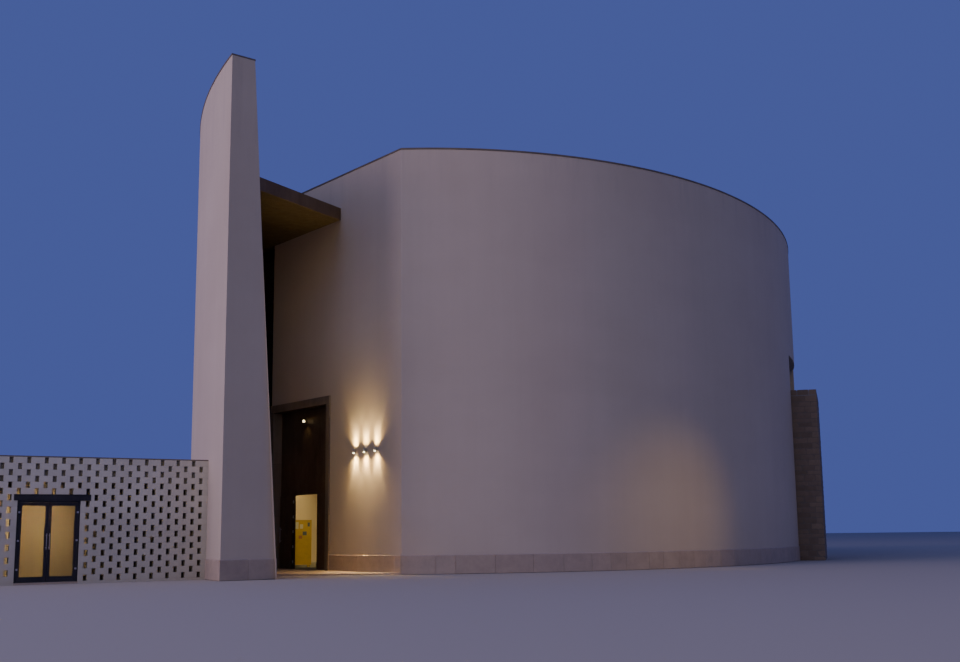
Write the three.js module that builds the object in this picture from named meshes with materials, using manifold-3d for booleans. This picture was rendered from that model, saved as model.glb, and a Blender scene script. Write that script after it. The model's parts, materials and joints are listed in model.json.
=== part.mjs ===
// A modern church: an oval nave between two curved walls, with its portal, side chapel and low wing.
// Lengths are in millimetres. +Z is up, +X runs to the right of the entrance front and +Y away from it.
// The origin lies on the ground at the centre of the ellipse that sets out the right-hand curved wall.

import * as THREE from "three";
import { mergeVertices } from "three/addons/utils/BufferGeometryUtils.js";
import Module from "manifold-3d";

const wasm = await Module();
wasm.setup();

const degrees = Math.PI / 180;

// Clearance between two pieces that rest against each other.
const gap = 0.3;

// A cutting solid reaches past the faces that it cuts by the margin, and its far sides lie well
// outside the church.
const cutMargin = 10;
const farAway = 40000;

// The right-hand curved wall is a half ellipse in front and a shorter half ellipse behind.
const drumHalfWidth = 15500;
const drumFrontDepth = 20770;
const drumRearDepth = 12000;
const drumThickness = 500;
const drumHeight = 12550;
const drumCornerAngle = -1.79 * degrees;
const drumStep = 2.5 * degrees;
const drumEndAngle = 172.5 * degrees;
const drumFrontJoints = [20 * degrees, 40 * degrees];
const drumRearJoints = [102.5 * degrees, 130 * degrees];
const drumSeam = 0.001 * degrees;

// The left-hand curved wall is an arc with an upright outer face and a leaning inner face.
const shellCentre = new THREE.Vector2(19424, -11744);
const shellRadius = 27355;
const shellFrontAngle = 207.35 * degrees;
const shellRearAngle = 120 * degrees;
const shellStep = 1.68 * degrees;
const shellHeight = 14140;
const shellFootThickness = 1580;
const shellTopThickness = 693;
const shellEndDirection = 40.4 * degrees;
const shellSegments = 4;

// Plinth, with an open joint at its foot, then copings, floor and roof.
const plinthFoot = 10;
const plinthHeight = 540;
const plinthProjection = 25;
const copingThickness = 50;
const copingOverhang = 15;
const floorHeight = 50;
const roofUnderside = 11600;
const roofThickness = 350;

// Entrance wall, measured along its outer face from the corner that it makes with the drum.
const wallDirection = 128.1 * degrees;
const wallThickness = 500;
const wallEnd = 7830;
const landingFront = -20790;

// Portal.
const portalStart = 3970;
const portalHeight = 5490;
const portalJamb = 205;
const portalHead = 260;
const portalProjection = 40;
const panelSetback = 300;
const panelThickness = 60;
const doorwayStart = 5150;
const doorwayEnd = 6720;
const doorwayHeight = 2440;

// Door leaves of the portal, folded back against the panels.
const leafThickness = 45;
const leafSideClearance = 5;
const leafMeetingClearance = 10;
const leafFootClearance = 10;
const portalHingeHeights = [280, 770, 1260, 1740, 2230];
const portalHandle = { radius: 12, foot: 900, top: 1400, standoff: 45, fromEdge: 90, arm: 8, armInset: 60 };

// Hinges: the axis stands in front of the leaf's face by the offset, and each half has a strap on
// its own face, lifted clear of the other face and thickened to a pad further out.
const knuckleHeight = 45;
const knuckleSides = 10;
const hingeRooting = 1;
const portalHinge = { radius: 11, offset: 15, reach: 70, thickness: 6, lift: 2, pad: 25 };
const wingHinge = { radius: 8, offset: 10, reach: 40, thickness: 4, lift: 2, pad: 15 };

// Glazed slot between the entrance wall and the left-hand wall.
const slotFrameFront = 200;
const slotFrameDepth = 80;
const slotBar = 60;
const slotGlassThickness = 12;
const slotBarHeights = [2780, 5490, 8130, 9220];

// Canopy.
const canopyTip = 3480;
const canopyFront = 241 * degrees;
const canopySoffit = 11107;
const canopyTop = 11475;
const soffitThickness = 30;
const fasciaThickness = 40;
const fasciaRise = 15;
const canopyReach = 7000;

// Lamps.
const wallLightPlaces = [1270, 1860, 2440];
const wallLightHeight = 3640;
const wallLightLength = 150;
const wallLightRadius = 35;
const wallLightStandoff = 85;
const wallLightBracket = { width: 40, height: 60 };
const lampSides = 16;
const lanternDrop = 330;
const lanternRadius = 60;
const lanternHeight = 120;
const lanternStem = 8;
const lanternRose = 12;

// Side chapel in the flank of the drum.
const chapelStartAngle = 61.8 * degrees;
const chapelEndAngle = 75 * degrees;
const chapelOpeningHeight = 7750;
const chapelWall = 350;
const chapelProjection = 950;
const chapelSide = 20;
const chapelWallHeight = 6160;
const chapelRoofTop = 6410;
const chapelFloorReach = 900;
const clerestoryBar = 60;
const clerestorySetback = 200;
const clerestoryGlass = 16;
const clerestoryInset = 80;

// Low wing with the perforated screen wall.
const wingOrigin = new THREE.Vector2(-5585, -22900);
const wingDirection = 212.77 * degrees;
const wingLength = 6400;
const wingDepth = 5000;
const wingWall = 250;
const screenThickness = 150;
const screenHeight = 3170;
const holePitch = 212;
const holeRowPitch = 154;
const holeRows = 20;
const holeStart = 165;
const holeFoot = 135;
const holeWidth = 100;
const holeHeight = 150;
const bedJoint = 4;
const holeMargin = 20;
const lintelStart = 3060;
const lintelEnd = 4940;
const lintelFoot = 2060;
const lintelTop = 2210;
const lintelProjection = 12;
const wingDoorStart = 3310;
const wingDoorEnd = 4850;
const wingFrameBar = 50;
const wingFrameSetback = 30;
const wingFrameDepth = 80;
const wingLeafStile = 60;
const wingPaneThickness = 12;
const wingAxisInset = 6;
const wingHingeHeights = [350, 1050, 1750];
const wingHandle = { radius: 9, foot: 850, top: 1250, standoff: 45, arm: 6, armInset: 50 };
const rebate = 10;
const wingRoofFoot = 2750;
const wingRoofTop = 2950;
const edgeBeam = { foot: 2540, top: 3120, depth: 200 };
const wingReachIntoShell = 4500;

// Notice board that stands inside the doorway.
const boardPlace = new THREE.Vector2(-4655, -12600);
const boardWidth = 940;
const boardHeight = 1620;
const boardThickness = 60;
const boardFoot = { width: 60, length: 400, height: 70, fromMiddle: 376 };

function finish(color, roughness, metalness = 0) {
  return new THREE.MeshStandardMaterial({ color, roughness, metalness });
}

const plaster = finish(0xb4a9aa, 0.85);
const paleStone = finish(0xb0a5a0, 0.8);
const darkStone = finish(0x4a4347, 0.9);
const bronze = finish(0x2b1c12, 0.5, 0.6);
const darkMetal = finish(0x2c2b31, 0.5, 0.7);
const timber = finish(0x5a4014, 0.6);
const glass = finish(0x1a1c22, 0.1);
const steel = finish(0xa5a5a8, 0.35, 0.9);
const concrete = finish(0x8d8784, 0.9);
const yellowBoard = finish(0xc08a1a, 0.7);

const church = new THREE.Group();

function addMesh(parent, name, geometry, material) {
  const mesh = new THREE.Mesh(geometry, material);
  mesh.name = name;
  parent.add(mesh);
  return mesh;
}

// Solids for joining and cutting.

function toSolid(geometry) {
  const plain = geometry.clone();
  plain.deleteAttribute("normal");
  plain.deleteAttribute("uv");
  const merged = mergeVertices(plain, 1e-3);
  return new wasm.Manifold(new wasm.Mesh({
    numProp: 3,
    vertProperties: new Float32Array(merged.attributes.position.array),
    triVerts: new Uint32Array(merged.index.array),
  }));
}

function toGeometry(solid) {
  const { vertProperties, triVerts } = solid.getMesh();
  const geometry = new THREE.BufferGeometry();
  geometry.setAttribute("position", new THREE.BufferAttribute(new Float32Array(vertProperties), 3));
  geometry.setIndex(new THREE.BufferAttribute(new Uint32Array(triVerts), 1));
  geometry.computeVertexNormals();
  return geometry;
}

// Brings a solid in the church's frame into the frame of a turned group.
function intoFrame(solid, frame) {
  return solid.transform(frame.matrixWorld.clone().invert().elements);
}

// An upright prism over a plan outline; the top outline may differ, for leaning faces.
function prism(outline, foot, top, topOutline = outline) {
  const shape = new THREE.Shape(outline);
  const geometry = new THREE.ExtrudeGeometry(shape, { depth: top - foot, bevelEnabled: false });
  geometry.translate(0, 0, foot);
  if (topOutline !== outline) {
    const key = (x, y) => `${Math.fround(x)},${Math.fround(y)}`;
    const moved = new Map(outline.map((point, i) => [key(point.x, point.y), topOutline[i]]));
    const positions = geometry.attributes.position;
    const middle = (foot + top) / 2;
    for (let i = 0; i < positions.count; i++) {
      if (positions.getZ(i) > middle) {
        const target = moved.get(key(positions.getX(i), positions.getY(i)));
        positions.setXY(i, target.x, target.y);
      }
    }
  }
  return geometry;
}

// A plate standing upright: its outline is in X and Z, and it runs from y = front to y = back.
function uprightPlate(outline, front, back) {
  const shape = new THREE.Shape(outline);
  const geometry = new THREE.ExtrudeGeometry(shape, { depth: front - back, bevelEnabled: false });
  geometry.rotateX(Math.PI / 2);
  geometry.translate(0, front, 0);
  return geometry;
}

// The same plate with rectangular holes, each given by its left, foot, right and top.
function piercedPlate(outline, front, back, holes) {
  let solid = toSolid(uprightPlate(outline, front, back));
  for (const [left, foot, right, top] of holes) {
    solid = solid.subtract(toSolid(box(left, back - cutMargin, foot, right, front + cutMargin, top)));
  }
  return solid;
}

function rectangle(x0, y0, x1, y1) {
  return [
    new THREE.Vector2(x0, y0),
    new THREE.Vector2(x1, y0),
    new THREE.Vector2(x1, y1),
    new THREE.Vector2(x0, y1),
  ];
}

function box(x0, y0, z0, x1, y1, z1) {
  const geometry = new THREE.BoxGeometry(x1 - x0, y1 - y0, z1 - z0);
  geometry.translate((x0 + x1) / 2, (y0 + y1) / 2, (z0 + z1) / 2);
  return geometry;
}

// A box whose X limits are given as distances towards +X or -X.
function sidedBox(side, near, y0, z0, far, y1, z1) {
  return box(Math.min(side * near, side * far), y0, z0, Math.max(side * near, side * far), y1, z1);
}

function uprightCylinder(radius, foot, top, sides) {
  const geometry = new THREE.CylinderGeometry(radius, radius, top - foot, sides);
  geometry.rotateX(Math.PI / 2);
  geometry.translate(0, 0, (foot + top) / 2);
  return geometry;
}

// Plan of the right-hand wall: angle 0 is its foremost point, 90 degrees its right-hand side.

function drumPoint(angle, inset = 0) {
  const depth = angle < Math.PI / 2 ? drumFrontDepth : drumRearDepth;
  const point = new THREE.Vector2(drumHalfWidth * Math.sin(angle), -depth * Math.cos(angle));
  const normal = new THREE.Vector2(depth * Math.sin(angle), -drumHalfWidth * Math.cos(angle)).normalize();
  return point.addScaledVector(normal, -inset);
}

function drumAngles(start, end) {
  const angles = [start];
  const first = Math.floor(start / drumStep) + 1;
  for (let i = first; i * drumStep < end - drumStep / 8; i++) {
    if (i * drumStep > start + drumStep / 8) {
      angles.push(i * drumStep);
    }
  }
  angles.push(end);
  return angles;
}

function drumArc(start, end, inset) {
  return drumAngles(start, end).map((angle) => drumPoint(angle, inset));
}

function drumBand(start, end, outerInset, innerInset) {
  return [...drumArc(start, end, outerInset), ...drumArc(start, end, innerInset).reverse()];
}

// Plan of the left-hand wall: thickness falls evenly from the foot to the top.

function shellThickness(height) {
  return THREE.MathUtils.lerp(shellFootThickness, shellTopThickness, height / shellHeight);
}

function shellPoint(angle, inset = 0) {
  const radius = shellRadius - inset;
  return new THREE.Vector2(Math.cos(angle), Math.sin(angle)).multiplyScalar(radius).add(shellCentre);
}

// The stations of the whole wall, shared by everything that follows it.
const shellStationCount = Math.round((shellFrontAngle - shellRearAngle) / shellStep);
const shellStations = Array.from({ length: shellStationCount + 1 }, (_, i) =>
  THREE.MathUtils.lerp(shellFrontAngle, shellRearAngle, i / shellStationCount));

// The front end of the wall is cut at a slant, so its inner corner isn't straight behind the outer one.
function shellFrontPoint(inset) {
  const slant = shellEndDirection - (shellFrontAngle - Math.PI);
  const along = new THREE.Vector2(Math.cos(shellEndDirection), Math.sin(shellEndDirection));
  return shellPoint(shellFrontAngle).addScaledVector(along, inset / Math.cos(slant));
}

function shellArc(stations, inset) {
  return stations.map((angle) => (
    angle === shellFrontAngle ? shellFrontPoint(inset) : shellPoint(angle, inset)));
}

// Everything on the inner side of the left-hand wall and past its rear end, clear of both.
function insideShell(clearance, foot, top) {
  const pastEnd = new THREE.Vector2(Math.sin(shellRearAngle), -Math.cos(shellRearAngle));
  const beyond = shellPoint(shellRearAngle, -farAway).addScaledVector(pastEnd, clearance);
  function outline(inset) {
    return [
      ...shellArc(shellStations, inset),
      shellPoint(shellRearAngle, inset).addScaledVector(pastEnd, clearance),
      beyond,
      new THREE.Vector2(farAway, beyond.y),
      new THREE.Vector2(farAway, -farAway),
    ];
  }
  const lower = outline(shellThickness(foot) + clearance);
  const upper = outline(shellThickness(top) + clearance);
  return toSolid(prism(lower, foot, top, upper));
}

// Everything behind the outer face of the left-hand wall, grown by the given distance.
function shellBlock(clearance, foot, top) {
  const far = [new THREE.Vector2(farAway, farAway / 2), new THREE.Vector2(farAway, -farAway)];
  return toSolid(prism([...shellArc(shellStations, -clearance), ...far], foot, top));
}

// What the pieces of the wing keep clear of: the wall's plinth low down, its outer face above.
function shellBesideWing() {
  const low = shellBlock(plinthProjection + 2 * gap, -cutMargin, plinthHeight + gap);
  return intoFrame(low.add(shellBlock(gap, plinthHeight, screenHeight + cutMargin)), wing);
}

// Frame of the entrance wall: X along the wall from the drum's corner, Y outwards.
const entrance = new THREE.Group();
const corner = drumPoint(drumCornerAngle);
entrance.position.set(corner.x, corner.y, 0);
entrance.rotation.z = wallDirection;
entrance.updateMatrixWorld();
church.add(entrance);

function entranceToChurch(x, y) {
  const point = new THREE.Vector3(x, y, 0).applyMatrix4(entrance.matrixWorld);
  return new THREE.Vector2(point.x, point.y);
}

function churchToEntrance(point) {
  const local = new THREE.Vector3(point.x, point.y, 0).applyMatrix4(entrance.matrixWorld.clone().invert());
  return new THREE.Vector2(local.x, local.y);
}

// Frame of the low wing: X along the screen wall from the left-hand curved wall, Y outwards.
const wing = new THREE.Group();
wing.position.set(wingOrigin.x, wingOrigin.y, 0);
wing.rotation.z = wingDirection;
wing.updateMatrixWorld();
church.add(wing);

// Rear face of the slot's glass, in the frame of the entrance wall.
const slotBack = -slotFrameFront - slotFrameDepth - slotGlassThickness;

// Where two faces meet at the drum's corner, both set back by the same distance.
function cornerMitre(inset) {
  const first = drumPoint(drumCornerAngle, 1).sub(corner);
  const second = entranceToChurch(0, -1).sub(corner);
  const sum = first.clone().add(second);
  return corner.clone().addScaledVector(sum, inset / (1 + first.dot(second)));
}

// Outline of the nave inside all its walls, between two heights.
function naveSolid(foot, top) {
  const inner = drumThickness + gap;
  const oval = toSolid(prism(drumArc(-Math.PI / 2 + drumStep, Math.PI - drumStep, inner), foot, top));
  const outside = toSolid(prism([
    entranceToChurch(-farAway, -wallThickness - gap),
    entranceToChurch(wallEnd + gap, -wallThickness - gap),
    entranceToChurch(wallEnd + gap, slotBack - 2 * gap),
    entranceToChurch(farAway, slotBack - 2 * gap),
    entranceToChurch(farAway, farAway),
    entranceToChurch(-farAway, farAway),
  ], foot - cutMargin, top + cutMargin));
  return oval.intersect(insideShell(gap, foot, top)).subtract(outside);
}

// Left-hand curved wall.

function addLeftShell() {
  const perSegment = shellStationCount / shellSegments;
  for (let i = 0; i < shellSegments; i++) {
    const stations = shellStations.slice(Math.round(i * perSegment), Math.round((i + 1) * perSegment) + 1);
    if (i > 0) {
      stations[0] -= gap / shellRadius;
    }
    const outer = shellArc(stations, 0);
    const lower = [...outer, ...shellArc(stations, shellFootThickness).reverse()];
    const upper = [...outer, ...shellArc(stations, shellTopThickness).reverse()];
    addMesh(church, `left_shell_${i + 1}`, prism(lower, 0, shellHeight, upper), plaster);
  }
}

function addLeftShellTrim() {
  const outer = shellArc(shellStations, -copingOverhang);
  const inner = shellArc(shellStations, shellTopThickness + copingOverhang).reverse();
  const coping = prism([...outer, ...inner], shellHeight, shellHeight + copingThickness);
  addMesh(church, "left_shell_coping", coping, darkMetal);

  // The plinth wraps the outer face, the front end and the inner face as far as the glazed slot.
  const innerStations = shellStations.filter((angle) => (
    churchToEntrance(shellPoint(angle, shellFootThickness)).y > -slotFrameFront / 2));
  const reach = plinthProjection;
  const shift = new THREE.Vector2(Math.sin(shellEndDirection), -Math.cos(shellEndDirection));
  function ring(inset, front) {
    const outside = shellArc(shellStations, -front).reverse();
    outside[outside.length - 1].addScaledVector(shift, front);
    const inside = shellArc(innerStations, inset + front);
    inside[0].addScaledVector(shift, front);
    return [...outside, ...inside];
  }
  const lower = [
    ...ring(shellThickness(plinthFoot), reach),
    ...ring(shellThickness(plinthFoot), gap).reverse(),
  ];
  const upper = [
    ...ring(shellThickness(plinthHeight), reach),
    ...ring(shellThickness(plinthHeight), gap).reverse(),
  ];
  addMesh(church, "left_shell_plinth", prism(lower, plinthFoot, plinthHeight, upper), paleStone);
}

// Right-hand curved wall.

function addDrumWalls() {
  const fronts = [drumCornerAngle, ...drumFrontJoints, chapelStartAngle];
  for (let i = 0; i < fronts.length - 1; i++) {
    const start = i === 0 ? fronts[i] : fronts[i] + drumSeam;
    const outline = drumBand(start, fronts[i + 1], 0, drumThickness);
    if (i === 0) {
      outline[outline.length - 1] = cornerMitre(drumThickness);
    }
    addMesh(church, `drum_wall_${i + 1}`, prism(outline, 0, drumHeight), plaster);
  }
  const lintel = drumBand(chapelStartAngle + drumSeam, chapelEndAngle - drumSeam, 0, drumThickness);
  addMesh(church, "drum_wall_over_chapel", prism(lintel, chapelOpeningHeight, drumHeight), plaster);
  const rears = [chapelEndAngle, ...drumRearJoints, drumEndAngle];
  for (let i = 0; i < rears.length - 1; i++) {
    const start = i === 0 ? rears[i] : rears[i] + drumSeam;
    const wall = toSolid(prism(drumBand(start, rears[i + 1], 0, drumThickness), 0, drumHeight));
    const trimmed = toGeometry(wall.intersect(insideShell(gap, 0, shellHeight)));
    addMesh(church, `drum_wall_${i + 4}`, trimmed, plaster);
  }
}

function addDrumTrim() {
  const outerLine = [
    entranceToChurch(farAway, copingOverhang),
    cornerMitre(-copingOverhang),
    ...drumArc(drumCornerAngle + drumStep / 2, drumEndAngle, -copingOverhang),
  ];
  const inset = drumThickness + copingOverhang;
  const innerLine = [
    ...drumArc(drumCornerAngle + drumStep, drumEndAngle, inset).reverse(),
    cornerMitre(inset),
    entranceToChurch(wallEnd + copingOverhang, -inset),
    entranceToChurch(wallEnd + copingOverhang, slotBack - copingOverhang),
    entranceToChurch(farAway, slotBack - copingOverhang),
  ];
  const coping = toSolid(prism([...outerLine, ...innerLine], drumHeight, drumHeight + copingThickness))
    .intersect(insideShell(gap, 0, shellHeight));
  addMesh(church, "drum_coping", toGeometry(coping), darkMetal);

  const front = prism([
    entranceToChurch(portalStart - gap, plinthProjection),
    cornerMitre(-plinthProjection),
    ...drumArc(drumCornerAngle + drumStep / 2, chapelStartAngle, -plinthProjection),
    ...drumArc(drumCornerAngle + drumStep / 2, chapelStartAngle, -gap).reverse(),
    cornerMitre(-gap),
    entranceToChurch(portalStart - gap, gap),
  ], plinthFoot, plinthHeight);
  addMesh(church, "drum_plinth_front", front, paleStone);

  const band = drumBand(chapelEndAngle, drumEndAngle, -plinthProjection, -gap);
  const rear = toSolid(prism(band, plinthFoot, plinthHeight)).intersect(insideShell(gap, 0, shellHeight));
  addMesh(church, "drum_plinth_rear", toGeometry(rear), paleStone);
}

// The floor runs on into the side chapel and stops at the chapel's side walls.
function addFloorAndRoof({ frame, length }) {
  const near = chapelSide + chapelWall + gap;
  const far = length - near;
  const foot = -cutMargin;
  const top = floorHeight + cutMargin;
  const wallBack = drumThickness + gap;
  function placed(x0, y0, z0, x1, y1, z1) {
    return toSolid(box(x0, y0, z0, x1, y1, z1)).transform(frame.matrixWorld.elements);
  }
  const tongue = placed(near, -chapelProjection + chapelWall + gap, 0, far, chapelFloorReach, floorHeight);
  const sides = placed(-gap, -chapelProjection, foot, near, wallBack, top)
    .add(placed(far, -chapelProjection, foot, length + gap, wallBack, top));
  const floor = naveSolid(0, floorHeight).add(tongue).subtract(sides);
  addMesh(church, "nave_floor", toGeometry(floor), concrete);
  const roof = naveSolid(roofUnderside, roofUnderside + roofThickness);
  addMesh(church, "nave_roof", toGeometry(roof), concrete);
}

// Entrance wall, landing and portal.

function addEntranceWall() {
  const mitre = churchToEntrance(cornerMitre(wallThickness));
  const beside = prism([
    new THREE.Vector2(gap, 0),
    new THREE.Vector2(portalStart, 0),
    new THREE.Vector2(portalStart, -wallThickness),
    new THREE.Vector2(mitre.x + gap, -wallThickness),
  ], 0, drumHeight);
  addMesh(entrance, "entrance_wall", beside, plaster);
  const over = box(portalStart + gap, -wallThickness, portalHeight, wallEnd, 0, drumHeight);
  addMesh(entrance, "entrance_wall_over_portal", over, plaster);
}

function addLanding() {
  const nearCorner = churchToEntrance(new THREE.Vector2(corner.x + plinthProjection, landingFront));
  const outline = [
    new THREE.Vector2(nearCorner.x, plinthProjection + gap),
    new THREE.Vector2(portalStart, plinthProjection + gap),
    new THREE.Vector2(portalStart + gap, -wallThickness + gap),
    new THREE.Vector2(farAway, -wallThickness + gap),
    new THREE.Vector2(farAway, farAway),
    new THREE.Vector2(nearCorner.x, farAway),
  ];
  const cutTop = floorHeight + cutMargin;
  const inFront = toSolid(box(-farAway, -2 * farAway, -cutMargin, farAway, landingFront, cutTop));
  const behindSlot = toSolid(prism([
    entranceToChurch(wallEnd, slotBack - gap),
    entranceToChurch(wallEnd, -farAway),
    entranceToChurch(farAway, -farAway),
    entranceToChurch(farAway, slotBack - gap),
  ], -cutMargin, cutTop));
  const slab = toSolid(prism(outline, 0, floorHeight)).transform(entrance.matrixWorld.elements)
    .subtract(inFront)
    .subtract(behindSlot)
    .intersect(insideShell(plinthProjection + gap, 0, shellHeight));
  addMesh(church, "entrance_landing", toGeometry(slab), paleStone);
}

function addPortal() {
  const start = portalStart + gap;
  const end = wallEnd - gap;
  const head = portalHeight - gap;
  const outline = [
    new THREE.Vector2(start, floorHeight),
    new THREE.Vector2(start + portalJamb, floorHeight),
    new THREE.Vector2(start + portalJamb, head - portalHead),
    new THREE.Vector2(end - portalJamb, head - portalHead),
    new THREE.Vector2(end - portalJamb, floorHeight),
    new THREE.Vector2(end, floorHeight),
    new THREE.Vector2(end, head),
    new THREE.Vector2(start, head),
  ];
  addMesh(entrance, "portal_surround", uprightPlate(outline, portalProjection, -wallThickness), bronze);

  const front = -panelSetback;
  const back = front - panelThickness;
  const innerStart = start + portalJamb + gap;
  const innerEnd = end - portalJamb - gap;
  const innerHead = head - portalHead - gap;
  const right = box(innerStart, back, floorHeight, doorwayStart, front, doorwayHeight - gap);
  const left = box(doorwayEnd, back, floorHeight, innerEnd, front, doorwayHeight - gap);
  const over = box(innerStart, back, doorwayHeight, innerEnd, front, innerHead);
  addMesh(entrance, "portal_panel_right", withFixedHinges(right, portalAxes[0]), bronze);
  addMesh(entrance, "portal_panel_left", withFixedHinges(left, portalAxes[1]), bronze);
  addMesh(entrance, "portal_panel_over", over, bronze);
}

// Half a hinge with its axis on the origin and its strap towards +X or -X.
function hingeHalf({ radius, offset, reach, thickness, lift, pad }, foot, top, side) {
  const front = -offset + lift + thickness;
  const barrel = toSolid(uprightCylinder(radius, foot, top, knuckleSides));
  const strap = toSolid(sidedBox(side, 0, -offset + lift, foot, reach, front, top));
  const foundation = toSolid(sidedBox(side, pad, -offset - hingeRooting, foot, reach, front, top));
  return barrel.add(strap).add(foundation);
}

// The fixed half of a hinge carries the moving half, which stands on it at the given height.
function fixedHalf(hinge, height, side) {
  return hingeHalf(hinge, height - gap - knuckleHeight, height - gap, side);
}

function movingHalf(hinge, height, side) {
  return hingeHalf(hinge, height, height + knuckleHeight, side);
}

// An upright bar handle on two arms, in front of a face whose outward side is +Y or -Y.
function barHandle({ radius, foot, top, standoff, arm, armInset }, x, face, outward) {
  const middle = face + outward * standoff;
  let handle = toSolid(uprightCylinder(radius, foot, top, knuckleSides)).translate([x, middle, 0]);
  const near = Math.min(middle, face - outward * arm);
  const far = Math.max(middle, face - outward * arm);
  for (const height of [foot + armInset, top - armInset]) {
    handle = handle.add(toSolid(box(x - arm, near, height - arm, x + arm, far, height + arm)));
  }
  return handle;
}

// The hinge axes of the portal's leaves, and the side on which the leaf lies when it is closed.
const portalAxes = [
  { name: "right", x: doorwayStart - portalHinge.offset, side: 1 },
  { name: "left", x: doorwayEnd + portalHinge.offset, side: -1 },
];
const portalAxisY = -panelSetback + portalHinge.offset;

function withFixedHinges(panel, { x, side }) {
  let solid = toSolid(panel);
  for (const height of portalHingeHeights) {
    solid = solid.add(fixedHalf(portalHinge, height, -side).translate([x, portalAxisY, 0]));
  }
  return toGeometry(solid);
}

// A leaf as it lies when closed, with its hinge axis on the origin and its width towards the side.
function portalLeaf(side) {
  const nearEdge = portalHinge.offset + leafSideClearance;
  const farEdge = portalHinge.offset + (doorwayEnd - doorwayStart - leafMeetingClearance) / 2;
  const foot = floorHeight + leafFootClearance;
  const top = doorwayHeight - leafFootClearance;
  const outerFace = -portalHinge.offset;
  const innerFace = outerFace - leafThickness;
  let leaf = toSolid(sidedBox(side, nearEdge, innerFace, foot, farEdge, outerFace, top));
  for (const height of portalHingeHeights) {
    leaf = leaf.add(movingHalf(portalHinge, height, side));
  }
  const handleX = side * (farEdge - portalHandle.fromEdge);
  return toGeometry(leaf.add(barHandle(portalHandle, handleX, innerFace, -1)));
}

// Both leaves stand open, folded back by half a turn against the panels beside the doorway.
function addPortalLeaves() {
  for (const { name, x, side } of portalAxes) {
    const leaf = addMesh(entrance, `door_leaf_${name}`, portalLeaf(side), bronze);
    leaf.position.set(x, portalAxisY, 0);
    leaf.rotation.z = side * Math.PI;
  }
}

function addNoticeBoard() {
  const halfWidth = boardWidth / 2;
  const foot = floorHeight + boardFoot.height - cutMargin;
  const top = floorHeight + boardHeight;
  let panel = toSolid(box(-halfWidth, -boardThickness / 2, foot, halfWidth, boardThickness / 2, top));
  for (const place of [-boardFoot.fromMiddle, boardFoot.fromMiddle]) {
    const left = place - boardFoot.width / 2;
    const length = boardFoot.length / 2;
    const footTop = floorHeight + boardFoot.height;
    panel = panel.add(toSolid(box(left, -length, floorHeight, left + boardFoot.width, length, footTop)));
  }
  const board = addMesh(church, "notice_board", toGeometry(panel), yellowBoard);
  board.position.set(boardPlace.x, boardPlace.y, 0);
}

// Glazed slot.

function addSlot() {
  const clear = intoFrame(insideShell(gap, 0, shellHeight), entrance);
  const front = -slotFrameFront;
  const back = front - slotFrameDepth;
  const start = wallEnd + gap;
  let frame = toSolid(uprightPlate(rectangle(start, floorHeight, farAway, drumHeight), front, back));
  const levels = [floorHeight, ...slotBarHeights, roofUnderside];
  const inner = intoFrame(insideShell(slotBar, 0, shellHeight), entrance);
  for (let i = 0; i < levels.length - 1; i++) {
    const foot = levels[i] + slotBar / 2;
    const top = levels[i + 1] - slotBar / 2;
    const pane = toSolid(box(start + slotBar, back - cutMargin, foot, farAway, front + cutMargin, top));
    frame = frame.subtract(pane.intersect(inner));
  }
  addMesh(entrance, "slot_frame", toGeometry(frame.intersect(clear)), darkMetal);
  const sheet = toSolid(box(start, slotBack - gap, floorHeight, farAway, back - gap, drumHeight));
  addMesh(entrance, "slot_glass", toGeometry(sheet.intersect(clear)), glass);
}

// Canopy between the left-hand wall and the entrance wall.

function addCanopy() {
  const clear = insideShell(gap, 0, shellHeight);
  const tip = entranceToChurch(canopyTip, gap);
  const forward = new THREE.Vector2(Math.cos(canopyFront), Math.sin(canopyFront));
  const outward = new THREE.Vector2(-forward.y, forward.x);
  const outline = [
    tip,
    entranceToChurch(wallEnd + gap, gap),
    entranceToChurch(wallEnd + gap, -slotFrameFront + gap),
    entranceToChurch(wallEnd + canopyReach, -slotFrameFront + gap),
    entranceToChurch(wallEnd + canopyReach, canopyReach),
    tip.clone().addScaledVector(forward, canopyReach),
  ];
  const slab = toSolid(prism(outline, canopySoffit + soffitThickness, canopyTop)).intersect(clear);
  addMesh(church, "canopy_slab", toGeometry(slab), darkMetal);
  const soffit = toSolid(prism(outline, canopySoffit, canopySoffit + soffitThickness)).intersect(clear);
  addMesh(church, "canopy_soffit", toGeometry(soffit), timber);

  // The strip lies in front of the slab's edge, and its end is cut along the entrance wall.
  const wallFace = toSolid(prism([
    entranceToChurch(-farAway, -farAway),
    entranceToChurch(-farAway, gap),
    entranceToChurch(farAway, gap),
    entranceToChurch(farAway, -farAway),
  ], 0, shellHeight));
  const back = tip.clone().addScaledVector(forward, -5 * fasciaThickness).addScaledVector(outward, gap);
  const front = back.clone().addScaledVector(forward, canopyReach);
  const strip = [
    back,
    front,
    front.clone().addScaledVector(outward, fasciaThickness),
    back.clone().addScaledVector(outward, fasciaThickness),
  ];
  const fascia = toSolid(prism(strip, canopySoffit - fasciaRise, canopyTop + fasciaRise))
    .subtract(wallFace)
    .intersect(clear);
  addMesh(church, "canopy_fascia", toGeometry(fascia), bronze);
}

// Lamps.

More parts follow.
